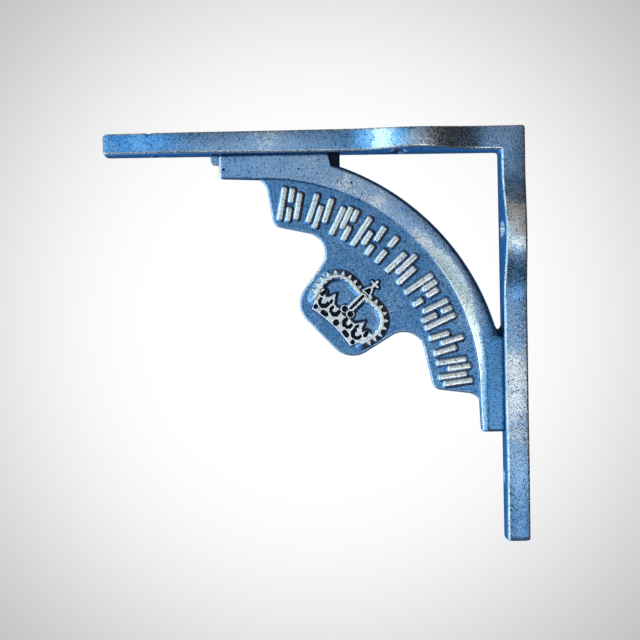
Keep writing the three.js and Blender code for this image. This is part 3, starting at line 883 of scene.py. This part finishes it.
def polyline_distance(x, y, points):
    """Distance from each grid place to an open line."""
    nearest = np.full(x.shape, np.inf)
    for (ax, ay), (bx, by) in zip(points[:-1], points[1:]):
        dx, dy = bx - ax, by - ay
        share = np.clip(((x - ax) * dx + (y - ay) * dy) / (dx * dx + dy * dy + 1e-12), 0, 1)
        nearest = np.minimum(nearest, np.hypot(x - ax - share * dx, y - ay - share * dy))
    return nearest


def polygon_distance(x, y, points):
    """Signed distance to a closed outline, negative inside."""
    closed = list(points) + [points[0]]
    distance = polyline_distance(x, y, closed)
    inside = np.zeros(x.shape, bool)
    for (ax, ay), (bx, by) in zip(closed[:-1], closed[1:]):
        if ay == by:
            continue
        crosses = (y < ay) != (y < by)
        inside ^= crosses & (x < (bx - ax) * (y - ay) / (by - ay) + ax)
    return np.where(inside, -distance, distance)


def smooth_line(points, steps=8):
    """A smooth line through points."""
    points = [np.array(point, float) for point in points]
    padded = [2 * points[0] - points[1], *points, 2 * points[-1] - points[-2]]
    line = []
    for index in range(1, len(padded) - 2):
        p0, p1, p2, p3 = padded[index - 1:index + 3]
        for share in np.linspace(0, 1, steps, endpoint=False):
            line.append(0.5 * (2 * p1 + (p2 - p0) * share + (2 * p0 - 5 * p1 + 4 * p2 - p3) * share ** 2
                               + (3 * p1 - p0 - 3 * p2 + p3) * share ** 3))
    return np.array(line + [points[-1]])


# The crown, drawn upright about its own middle, with only its right half where both halves are alike.
# The arch's ridge from the middle to its foot, and the flanks on either side of it
ARCH_LINE = ((1.6, 9.3), (5.2, 9.9), (9.0, 10.0), (12.6, 9.0), (15.5, 6.4), (16.8, 2.6), (16.3, -2.0),
             (14.9, -6.6))
ARCH_RIDGE = 0.5
INNER_FLANK = 2.0
OUTER_FLANK = 2.7
# The arch's teeth: the first one's place and the room for all, in gaps between teeth
ARCH_TEETH = 9
FIRST_TOOTH = 0.75
TOOTH_ROOM = 0.8
LINE_STEP = 0.1
TOOTH_LENGTH = 2.3
TOOTH_ROOT = 1.15
TOOTH_TIP = 0.3
TOOTH_RISE = 0.95
TOOTH_FLANK = 0.45
# The crown's curved foot, and the band above it with its leaf points, from the arch to the middle
FOOT_HALF_SPAN = 12.3
FOOT_END = -11.3
FOOT_ARCH = 1.3
FOOT_STEPS = 13
BAND_TOP = ((16.3, -3.0), (14.9, -0.4), (12.7, -0.6), (11.7, -2.6), (10.4, -1.6), (9.2, 1.7), (7.9, -0.2),
            (6.4, -2.2), (5.0, -2.5), (3.6, -2.2), (2.0, -2.6), (0.0, -3.2))
BAND_EDGE = 0.25
BAND_RISE = 0.86
LEAF_FLANK = 1.2
FOOT_FLANK = 0.45
LEAVES_FROM = -5
# The bars, the rings, the orb's stand and the cross between the arches share a middle that leans.
# Bars and cross: ends, half width, share of the rise and flank
MIDDLE_SHIFT = 0.35
MIDDLE_LEAN = 0.025
MIDDLE_BARS = (
    (((-0.95, 1.0), (-0.95, 10.0)), 0.5, 0.95, 1.5),
    (((0.95, 1.0), (0.95, 10.0)), 0.5, 0.95, 1.5),
    (((-1.6, 10.3), (1.6, 10.3)), 0.4, 0.9, 0.8),
    (((0.0, 14.8), (0.0, 18.7)), 0.4, 0.95, 0.8),
    (((-1.8, 16.9), (1.8, 16.9)), 0.4, 0.95, 0.8),
)
RING_PLACE = (1.75, -0.6)
RING_RADIUS = 1.7
RING_HOLLOW = 1.15
RING_FLANK = 0.8
STAND = ((-2.5, 11.1), (2.5, 11.1), (1.1, 14.9), (-1.1, 14.9))
STAND_HOLLOW = ((-1.2, 11.9), (1.2, 11.9), (0.3, 13.9), (-0.3, 13.9))
STAND_EDGE = 0.15
STAND_RISE = 0.95
STAND_FLANK = 0.9
# The beaded slot between the two bars: ends, half width, and how far and how often its sides wave
BEAD_LINE = ((0.0, 1.6), (0.0, 9.4))
BEAD_HALF_WIDTH = 0.3
BEAD_WAVE = 0.12
BEAD_RATE = 5.2
# The middle stone's hollow: place across and up, and radius
STONE = (0.1, -7.9, 1.2)
# Other hollows sunk in the band: lines with a half width
HOLLOWS = (
    (((2.4, -3.7), (2.4, -5.1), (3.5, -6.0)), 0.72),
    (((3.5, -6.0), (5.1, -6.0), (6.0, -4.9), (5.9, -4.0)), 0.5),
    (((8.6, -4.4), (8.7, -5.8), (9.8, -6.8)), 0.72),
    (((9.8, -6.8), (11.3, -6.8), (12.3, -5.8), (12.4, -4.8)), 0.48),
    (((13.4, -1.5), (13.6, -2.9)), 0.65),
    (((5.9, -8.35), (7.5, -8.6)), 0.85),
    (((11.7, -9.0), (11.8, -9.1)), 0.75),
    (((8.3, -2.0), (8.0, -3.0)), 0.35),
)
HOLLOW_LIP = 0.3
HOLLOW_FLOOR = 0.12
# How strongly painted shade blackens the crown's hollows
HOLLOW_PAINTED_SHADE = 2.2
# The ground inside the arches as a share of the rise, and how far wear reaches down a form's flank
GROUND_SHARE = 0.06
WEAR_REACH = 0.4
FLANK_LEAST_WEAR = 0.25
# How softly a form's top edge turns, and how steeply it goes on below the web's face
EDGE_SOFTNESS = 0.2
ROOT_SLOPE = 0.6


def slope(distance, rise, run):
    """Height of a form that is level inside and falls evenly over a run outside."""
    away = np.hypot(np.maximum(distance, 0), EDGE_SOFTNESS) - EDGE_SOFTNESS
    return np.where(away < run, rise * (1 - away / run), (run - away) * ROOT_SLOPE)


def ridge_points(count, line):
    """Evenly spaced places on a line, each with the direction to its left."""
    along = np.concatenate([[0], np.cumsum(np.linalg.norm(np.diff(line, axis=0), axis=1))])
    for index in range(count):
        at = along[-1] * (index + FIRST_TOOTH) / (count + TOOTH_ROOM)
        here, ahead = (np.array([np.interp(place, along, line[:, axis]) for axis in (0, 1)])
                       for place in (at, at + LINE_STEP))
        way = (ahead - here) / np.linalg.norm(ahead - here)
        yield here, np.array((-way[1], way[0]))


def from_middle(x, y):
    """How far each place lies across from the leaning middle of the crown."""
    return x - MIDDLE_SHIFT - MIDDLE_LEAN * y


def crown_forms(x, y):
    """The crown's raised forms: distance outside each form's top, its share of the rise, its flank."""
    line = smooth_line(ARCH_LINE)
    foot = [(FOOT_HALF_SPAN * share, FOOT_END + FOOT_ARCH * (1 - share * share))
            for share in np.linspace(-1, 1, FOOT_STEPS)]
    whole = polygon_distance(x, y, [*foot, *line[::-1], *(line * (-1, 1))])
    band_left = [(-across, up) for across, up in BAND_TOP[-2::-1]]
    band = polygon_distance(x, y, [*foot, *BAND_TOP, *band_left])
    yield band + BAND_EDGE, BAND_RISE, np.where(y > LEAVES_FROM, LEAF_FLANK, FOOT_FLANK)
    centre = from_middle(x, y)
    for side in (-1, 1):
        across = side * x
        flank = np.where(whole < 0, INNER_FLANK, OUTER_FLANK)
        yield polyline_distance(across, y, line) - ARCH_RIDGE, 1.0, flank
        for here, out in ridge_points(ARCH_TEETH, line):
            share = np.clip(((across - here[0]) * out[0] + (y - here[1]) * out[1]) / TOOTH_LENGTH, 0, 1)
            width = TOOTH_ROOT + (TOOTH_TIP - TOOTH_ROOT) * share
            tooth = polyline_distance(across, y, [here, here + out * TOOTH_LENGTH])
            yield tooth - width, TOOTH_RISE, TOOTH_FLANK
        ring = np.hypot(side * centre - RING_PLACE[0], y - RING_PLACE[1])
        yield ring - RING_RADIUS, BAND_RISE, RING_FLANK
    for ends, half_width, share, flank in MIDDLE_BARS:
        yield polyline_distance(centre, y, ends) - half_width, share, flank
    yield polygon_distance(centre, y, STAND) + STAND_EDGE, STAND_RISE, STAND_FLANK
    yield np.where(whole < 0, 0.0, OUTER_FLANK), GROUND_SHARE, 1.0


def crown_hollows(x, y):
    """The hollows sunk in the crown, as distance outside each one's edge."""
    centre = from_middle(x, y)
    yield polyline_distance(centre + BEAD_WAVE * np.cos(y * BEAD_RATE), y, BEAD_LINE) - BEAD_HALF_WIDTH
    yield polygon_distance(centre, y, STAND_HOLLOW)
    yield np.hypot(x - STONE[0], y - STONE[1]) - STONE[2]
    for side in (-1, 1):
        yield np.hypot(side * centre - RING_PLACE[0], y - RING_PLACE[1]) - RING_HOLLOW
        for points, half_width in HOLLOWS:
            yield polyline_distance(side * x, y, points) - half_width


def crown_relief(x, y, rise):
    """Height of the crown above the web, and its wear with painted shade in its hollows, at places across
    and up from its middle.
    """
    forms = list(crown_forms(x, y))
    height = np.max([slope(distance, share * rise, run) for distance, share, run in forms], axis=0)
    top = np.min([distance for distance, share, _ in forms if share > GROUND_SHARE], axis=0)
    gap = np.min(list(crown_hollows(x, y)), axis=0)
    sunk = HOLLOW_FLOOR + rise * np.clip(gap / HOLLOW_LIP, 0, 1)
    wear = np.clip(1.1 - top / WEAR_REACH, FLANK_LEAST_WEAR, 1)
    # Painted shade blackens the hollows
    wear -= HOLLOW_PAINTED_SHADE * np.clip(1 - gap / HOLLOW_LIP, 0, 1)
    return np.where(gap < HOLLOW_LIP, np.minimum(height, sunk), height), np.clip(wear, -1, 1)


def crown_sheet(rise):
    """The badge's relief as a closed sheet, with its open ground left out."""
    across = np.arange(-CROWN_HALF_SPAN, CROWN_HALF_SPAN + CROWN_GRID, CROWN_GRID)
    up = np.arange(CROWN_LOW, CROWN_HIGH + CROWN_GRID, CROWN_GRID)
    x, y = np.meshgrid(across, up)
    height, wear = crown_relief(x, y, rise)
    height = np.maximum(height, -CROWN_ROOT)
    kept = height > -CROWN_ROOT + 1e-6
    cells = kept[:-1, :-1] | kept[1:, :-1] | kept[:-1, 1:] | kept[1:, 1:]
    index = np.arange(height.size).reshape(height.shape)
    rows, columns = np.nonzero(cells)
    front = np.column_stack([index[rows, columns], index[rows, columns + 1],
                             index[rows + 1, columns + 1], index[rows + 1, columns]])
    used, faces = np.unique(front, return_inverse=True)
    faces = faces.reshape(front.shape)
    depth = -(WEB_HALF_DEPTH + height.ravel()[used])
    flat = np.column_stack([x.ravel()[used], y.ravel()[used]])
    sheet = np.column_stack([flat[:, 0], depth, flat[:, 1]])
    root = np.column_stack([flat[:, 0], np.full(len(flat), -WEB_HALF_DEPTH + 2 * CROWN_ROOT), flat[:, 1]])
    edges = np.vstack([faces[:, [0, 1]], faces[:, [1, 2]], faces[:, [2, 3]], faces[:, [3, 0]]])
    keys = np.sort(edges, axis=1)
    _, first, counts = np.unique(keys, axis=0, return_index=True, return_counts=True)
    rim = edges[first[counts == 1]]
    count = len(used)
    walls = np.column_stack([rim[:, 1], rim[:, 0], rim[:, 0] + count, rim[:, 1] + count])
    everything = np.vstack([faces, faces[:, ::-1] + count, walls])
    points = np.vstack([sheet, root])
    return points, everything.tolist(), np.concatenate([wear.ravel()[used], np.zeros(count)])


def crown_to_bracket(points):
    """Turns and moves points of the upright crown to its place on the web."""
    along = (rib_inner_crest + CROWN_DROP) / math.sqrt(2)
    aside = CROWN_SHIFT / math.sqrt(2)
    cos, sin = math.cos(CROWN_TURN), math.sin(CROWN_TURN)
    x, y, z = points.T
    return np.column_stack([x * cos + z * sin + aside - along, y, z * cos - x * sin - aside - along])


class BRACKET_OT_add_arms(bpy.types.Operator):
    """Builds the shelf arm and the wall arm with their lobes, screw holes and chips."""

    bl_idname = "bracket.add_arms"
    bl_label = "Arms"

    def execute(self, context):
        settings = context.scene.bracket
        rings, wear = arm_rings(settings)
        arms = make_piece("arms", rings, loft(rings), wear, settings)
        cutters = [chip_cutter(*chip) for chip in CHIPS]
        for depth in (-LOBE_HOLE_SPREAD, LOBE_HOLE_SPREAD):
            cutters.append(screw_cutter(SHELF_LOBE_HOLE_AT, depth, *SHELF_ARM))
            cutters.append(screw_cutter(WALL_LOBE_HOLE_AT, depth, *WALL_ARM))
        cutters.append(screw_cutter(SHELF_END_HOLE_AT, 0.0, *SHELF_ARM))
        cutters.append(screw_cutter(WALL_END_HOLE_AT, 0.0, *WALL_ARM))
        cut_with(arms, cutters)
        shade(arms, ARM_CREASE)
        return {"FINISHED"}


class BRACKET_OT_add_rib(bpy.types.Operator):
    """Builds the curved rib, its fillings against the arms and the gate stub."""

    bl_idname = "bracket.add_rib"
    bl_label = "Rib"

    def execute(self, context):
        settings = context.scene.bracket
        rings, wear = rib_rings(settings)
        rib = make_piece("rib", rings, loft(rings), wear, settings)
        depth = -RIB_EDGE_DEPTH - RIB_PIT_MIDDLE
        cut_with(rib, [chip_cutter((x, depth, z), (size, RIB_PIT_DEPTH, size), 0.0)
                       for x, z, size in RIB_PITS])
        # The fillings are painted black as the shade in their hollow steps
        rows = rounded_rows(FILL_HALF_DEPTH, FILL_ROUND, FILL_SHOULDER, *FILL_PAINTED_SHADE)
        make_plate("shelf_filling", step_outline(SHELF_FILL_LENGTH, False), rows, settings)
        make_plate("wall_filling", step_outline(WALL_FILL_LENGTH, True), rows, settings)
        tip, foot = -rib_reach - STUB_LENGTH, -rib_reach + STUB_OVERLAP
        top, low = -rib_root, -CORNER_THICK - STUB_HEIGHT
        corners = [(tip, top, 0.0), (tip, low + STUB_TIP_LIFT, STUB_TIP_ROUND),
                   (foot, low + STUB_FOOT_LIFT, STUB_FOOT_ROUND), (foot, top, 0.0)]
        rows = rounded_rows(STUB_HALF_DEPTH, STUB_EDGE_ROUND, STUB_SHOULDER, *STUB_WEAR)
        make_plate("gate_stub", resampled(rounded_outline(corners), STUB_GAP), rows, settings)
        return {"FINISHED"}


class BRACKET_OT_add_web(bpy.types.Operator):
    """Builds the shaped web below the rib."""

    bl_idname = "bracket.add_web"
    bl_label = "Web"

    def execute(self, context):
        settings = context.scene.bracket
        corners = [(-x * rib_outer_centre, -z * rib_outer_centre, radius * rib_outer_centre)
                   for x, z, radius in WEB_CORNERS]
        outline = resampled(rounded_outline(corners, WEB_ARC_STEPS), OUTLINE_GAP)
        rows = rounded_rows(WEB_HALF_DEPTH, settings.web_round / MM, WEB_SHOULDER, *WEB_WEAR)
        make_plate("web", outline, rows, settings)
        return {"FINISHED"}


class BRACKET_OT_add_marks(bpy.types.Operator):
    """Builds the arc of raised marks under the rib."""

    bl_idname = "bracket.add_marks"
    bl_label = "Marks"

    def execute(self, context):
        settings = context.scene.bracket
        rows = mark_rows(settings.mark_rise / MM)
        low = rib_outer_radius - RIB_WIDTH - MARK_MARGIN - MARK_LENGTH
        reach = MARK_WIDTH / 2
        points, faces, wear_and_painted_light_lists = [], [], []
        for degrees, *bars in MARK_GROUPS:
            cos, sin = math.cos(math.radians(degrees)), math.sin(math.radians(degrees))
            for side, start, end in bars:
                corners = [(side + way * reach, low + MARK_LENGTH * share, MARK_CORNER_SHARE * reach)
                           for way, share in ((-1, start), (1, start), (1, end), (-1, end))]
                outline = resampled(rounded_outline(corners, MARK_ARC_STEPS), MARK_GAP)
                rings, wear = plate(outline, rows)
                x, y, z = rings.reshape(-1, 3).T
                shift = sum(len(block) for block in points)
                faces += [tuple(corner + shift for corner in face) for face in loft(rings)]
                points.append(np.column_stack([x * cos + z * sin - rib_outer_centre, y,
                                               z * cos - x * sin - rib_outer_centre]))
                wear_and_painted_light_lists.append(wear.ravel())
        make_piece("marks", np.vstack(points), faces, np.concatenate(wear_and_painted_light_lists), settings)
        return {"FINISHED"}


def mark_rows(rise):
    """Rows for a mark from its foot below the web's face up its sloping side to its domed top."""
    reach = MARK_WIDTH / 2
    top = -WEB_HALF_DEPTH - rise
    rows = [(-rise - MARK_ROOT, -WEB_HALF_DEPTH + MARK_ROOT, MARK_FOOT_WEAR),
            (-rise / 2, top + rise / 2, MARK_SIDE_WEAR)]
    for turn in np.linspace(math.pi / 4, math.pi / 2, ARC_STEPS + 1):
        inward, down = MARK_EDGE * (1 - math.cos(turn)), MARK_EDGE * (1 - math.sin(turn))
        rows.append((inward, top + down, MARK_TOP_WEAR))
    return rows + [(MARK_DOME_SHARE * reach, top - MARK_DOME, MARK_TOP_WEAR)]


class BRACKET_OT_add_crown(bpy.types.Operator):
    """Builds the raised crown badge."""

    bl_idname = "bracket.add_crown"
    bl_label = "Crown badge"

    def execute(self, context):
        settings = context.scene.bracket
        points, faces, wear = crown_sheet(settings.crown_rise / MM)
        make_piece("crown_badge", crown_to_bracket(points), faces, wear, settings, CROWN_CREASE)
        return {"FINISHED"}


class BRACKET_OT_set_stage(bpy.types.Operator):
    """Sets the pale bowl behind the bracket, the studio light and the camera."""

    bl_idname = "bracket.set_stage"
    bl_label = "Stage"

    def execute(self, context):
        settings = context.scene.bracket
        turned = camera_turn()
        camera_data = bpy.data.cameras.new("camera")
        camera_data.lens = CAMERA_LENS
        camera_data.sensor_width = SENSOR_WIDTH
        camera = bpy.data.objects.new("camera", camera_data)
        camera.matrix_world = Matrix.Translation(CAMERA_PLACE) @ turned.to_4x4()
        context.scene.collection.objects.link(camera)
        context.scene.camera = camera
        ahead = turned @ Vector((0.0, 0.0, -1.0))
        make_bowl(settings, (Vector(CAMERA_PLACE) + ahead * BACKDROP_AWAY).normalized())
        light_world(context.scene, settings)
        context.scene.view_settings.view_transform = "Standard"
        context.scene.view_settings.look = "None"
        return {"FINISHED"}


def camera_turn():
    """The camera's turn, from a level view along Y."""
    level = Matrix(((1, 0, 0), (0, 0, -1), (0, 1, 0)))
    yaw = Matrix.Rotation(CAMERA_YAW, 3, "Z")
    pitch = Matrix.Rotation(CAMERA_PITCH, 3, "X")
    roll = Matrix.Rotation(CAMERA_ROLL, 3, "Y")
    return yaw @ pitch @ roll @ level


# The bowl in metres, and the half angles between which its painted pool of light falls off round the view's
# middle
BOWL_RADIUS = 1.6
BOWL_SIDES = 96
BOWL_MIDDLE = 0.001
BOWL_DOME_STEPS = 16
BOWL_DOME_START = 0.1
BACKDROP_AWAY = 2.2
FLOOR_HEIGHT = -0.75
FLOOR_RADIUS = 0.4
FLOOR_BEND = 0.5
FLOOR_BEND_STEPS = 11
PAINTED_POOL_FULL = math.radians(9)
PAINTED_POOL_END = math.radians(32)
PAINTED_POOL_FAR = 0.45


def make_bowl(settings, middle):
    """A pale glowing bowl round the bracket, with a painted pool of light brightest toward its middle."""
    profile = [(BOWL_MIDDLE, FLOOR_HEIGHT), (FLOOR_RADIUS, FLOOR_HEIGHT)]
    profile += [(BOWL_RADIUS - FLOOR_BEND * near, FLOOR_HEIGHT + FLOOR_BEND * down)
                for near, down in quarter(FLOOR_BEND_STEPS)]
    for turn in np.linspace(BOWL_DOME_START, math.pi / 2, BOWL_DOME_STEPS):
        profile.append((max(BOWL_MIDDLE, BOWL_RADIUS * math.cos(turn)), BOWL_RADIUS * math.sin(turn)))
    turns = np.arange(BOWL_SIDES) * 2 * math.pi / BOWL_SIDES
    rings = [np.column_stack([radius * np.cos(turns), radius * np.sin(turns), np.full(BOWL_SIDES, height)])
             for radius, height in profile]
    mesh = bpy.data.meshes.new("backdrop")
    mesh.from_pydata(np.vstack(rings).tolist(), [], loft(rings))
    mesh.shade_smooth()
    bowl = bpy.data.objects.new("backdrop", mesh)
    bpy.context.scene.collection.objects.link(bowl)
    material = bpy.data.materials.new("backdrop_paper")
    material.use_nodes = True
    graph = Graph(material.node_tree)
    place = graph.node("ShaderNodeTexCoord", output="Object")
    way = graph.node("ShaderNodeVectorMath", {"operation": "NORMALIZE"}, {0: place})
    facing = graph.vector("DOT_PRODUCT", way, middle, "Value")
    angle = facing.math("ARCCOSINE", facing)
    # Painted pool of light: the glow falls off away from the view's middle
    glow = angle.eased(PAINTED_POOL_FULL, PAINTED_POOL_END, 1.0, PAINTED_POOL_FAR)
    colour = graph.mix(glow, (0.0, 0.0, 0.0), settings.backdrop_colour)
    shader = graph.node("ShaderNodeEmission", {}, {"Color": colour})
    graph.node("ShaderNodeOutputMaterial", {}, {"Surface": shader})
    mesh.materials.append(material)
    bowl.visible_diffuse = False
    bowl.visible_glossy = False
    bowl.visible_transmission = False
    bowl.visible_shadow = False


# Soft lights all round, in rows of azimuth, elevation, colour and strength. Azimuth runs from the
# viewer's side toward the right. Both angles are given in degrees, as the light's middle, its half
# angle of full strength and the half angle where it ends.
LIGHTS = (
    ((-66, 41, 49), (6, 36, 58), (0.80, 1.0, 1.0), 1.35),
    ((-17, 5, 8.5), (6, 5, 14), (0.14, 0.64, 1.0), 2.1),
    ((-4, 5, 8.5), (0, 4, 14), (0.74, 0.84, 0.95), 0.92),
    ((7, 3, 6), (14, 6, 14), (0.80, 0.86, 0.94), 0.8),
    ((8, 4, 6.5), (-10.6, 5.2, 7.2), (0.78, 1.0, 1.14), 2.7),
    ((-100, 40, 80), (-45, 25, 50), (0.35, 0.70, 1.0), 0.9),
    ((-135, 20, 30), (0, 20, 45), (0.25, 0.55, 0.90), 0.8),
    ((180, 40, 70), (-50, 15, 32), (0.30, 0.55, 0.90), 0.7),
    ((-170, 12, 30), (4, 20, 50), (0.36, 0.56, 0.78), 0.5),
    ((145, 14, 34), (-10, 25, 55), (0.50, 0.68, 0.88), 0.9),
    ((180, 60, 100), (60, 12, 32), (0.80, 0.90, 1.0), 0.8),
    ((97, 6, 20), (-14, 6, 16), (0.50, 0.60, 0.75), 0.3),
    ((-12, 42, 58), (-55, 14, 27), (0.34, 0.50, 0.72), 0.45),
    ((-12, 42, 58), (60, 12, 27), (0.40, 0.55, 0.75), 0.35),
)
# Light from everywhere else
AMBIENT = (0.055, 0.026, 0.006)


def light_world(scene, settings):
    """Lights the bracket with soft windows and dark between them."""
    world = bpy.data.worlds.new("studio")
    world.use_nodes = True
    scene.world = world
    graph = Graph(world.node_tree)
    way = graph.node("ShaderNodeTexCoord", output="Generated")
    split = graph.node("ShaderNodeSeparateXYZ", {}, {0: way})
    x, y, z = (Value(graph, socket) for socket in split.socket.node.outputs)
    azimuth = x.math("ARCTAN2", x, 0.0 - y)
    elevation = z.math("ARCSINE", z)
    total = AMBIENT
    for around, upward, colour, strength in LIGHTS:
        middle, full, end = (math.radians(degrees) for degrees in around)
        aside = azimuth.math("WRAP", azimuth - middle, math.pi, -math.pi)
        across = aside.math("ABSOLUTE", aside).eased(full, end, 1.0, 0.0)
        middle, full, end = (math.radians(degrees) for degrees in upward)
        above = elevation - middle
        patch = across * above.math("ABSOLUTE", above).eased(full, end, 1.0, 0.0)
        glow = graph.node("ShaderNodeCombineXYZ", {}, {
            axis: patch * (strength * part) for axis, part in enumerate(colour)})
        total = graph.vector("ADD", total, glow)
    shader = graph.node("ShaderNodeBackground", {}, {
        "Color": total, "Strength": settings.light_level})
    graph.node("ShaderNodeOutputWorld", {}, {"Surface": shader})


class BRACKET_PT_panel(bpy.types.Panel):
    """Lists the bracket's pieces and settings."""

    bl_label = "Shelf bracket"
    bl_idname = "BRACKET_PT_panel"
    bl_space_type = "VIEW_3D"
    bl_region_type = "UI"
    bl_category = "Bracket"

    def draw(self, context):
        settings = context.scene.bracket
        for name in BracketSettings.__annotations__:
            self.layout.prop(settings, name)
        for operator in PIECE_OPERATORS:
            self.layout.operator(operator.bl_idname)


PIECE_OPERATORS = (
    BRACKET_OT_set_stage,
    BRACKET_OT_add_arms,
    BRACKET_OT_add_rib,
    BRACKET_OT_add_web,
    BRACKET_OT_add_marks,
    BRACKET_OT_add_crown,
)
CLASSES = (BracketSettings, *PIECE_OPERATORS, BRACKET_PT_panel)


def register():
    for cls in CLASSES:
        bpy.utils.register_class(cls)
    bpy.types.Scene.bracket = PointerProperty(type=BracketSettings)


def unregister():
    del bpy.types.Scene.bracket
    for cls in reversed(CLASSES):
        bpy.utils.unregister_class(cls)


def main():
    register()
    bpy.ops.bracket.set_stage()
    bpy.ops.bracket.add_arms()
    bpy.ops.bracket.add_rib()
    bpy.ops.bracket.add_web()
    bpy.ops.bracket.add_marks()
    bpy.ops.bracket.add_crown()


if __name__ == "__main__":
    main()
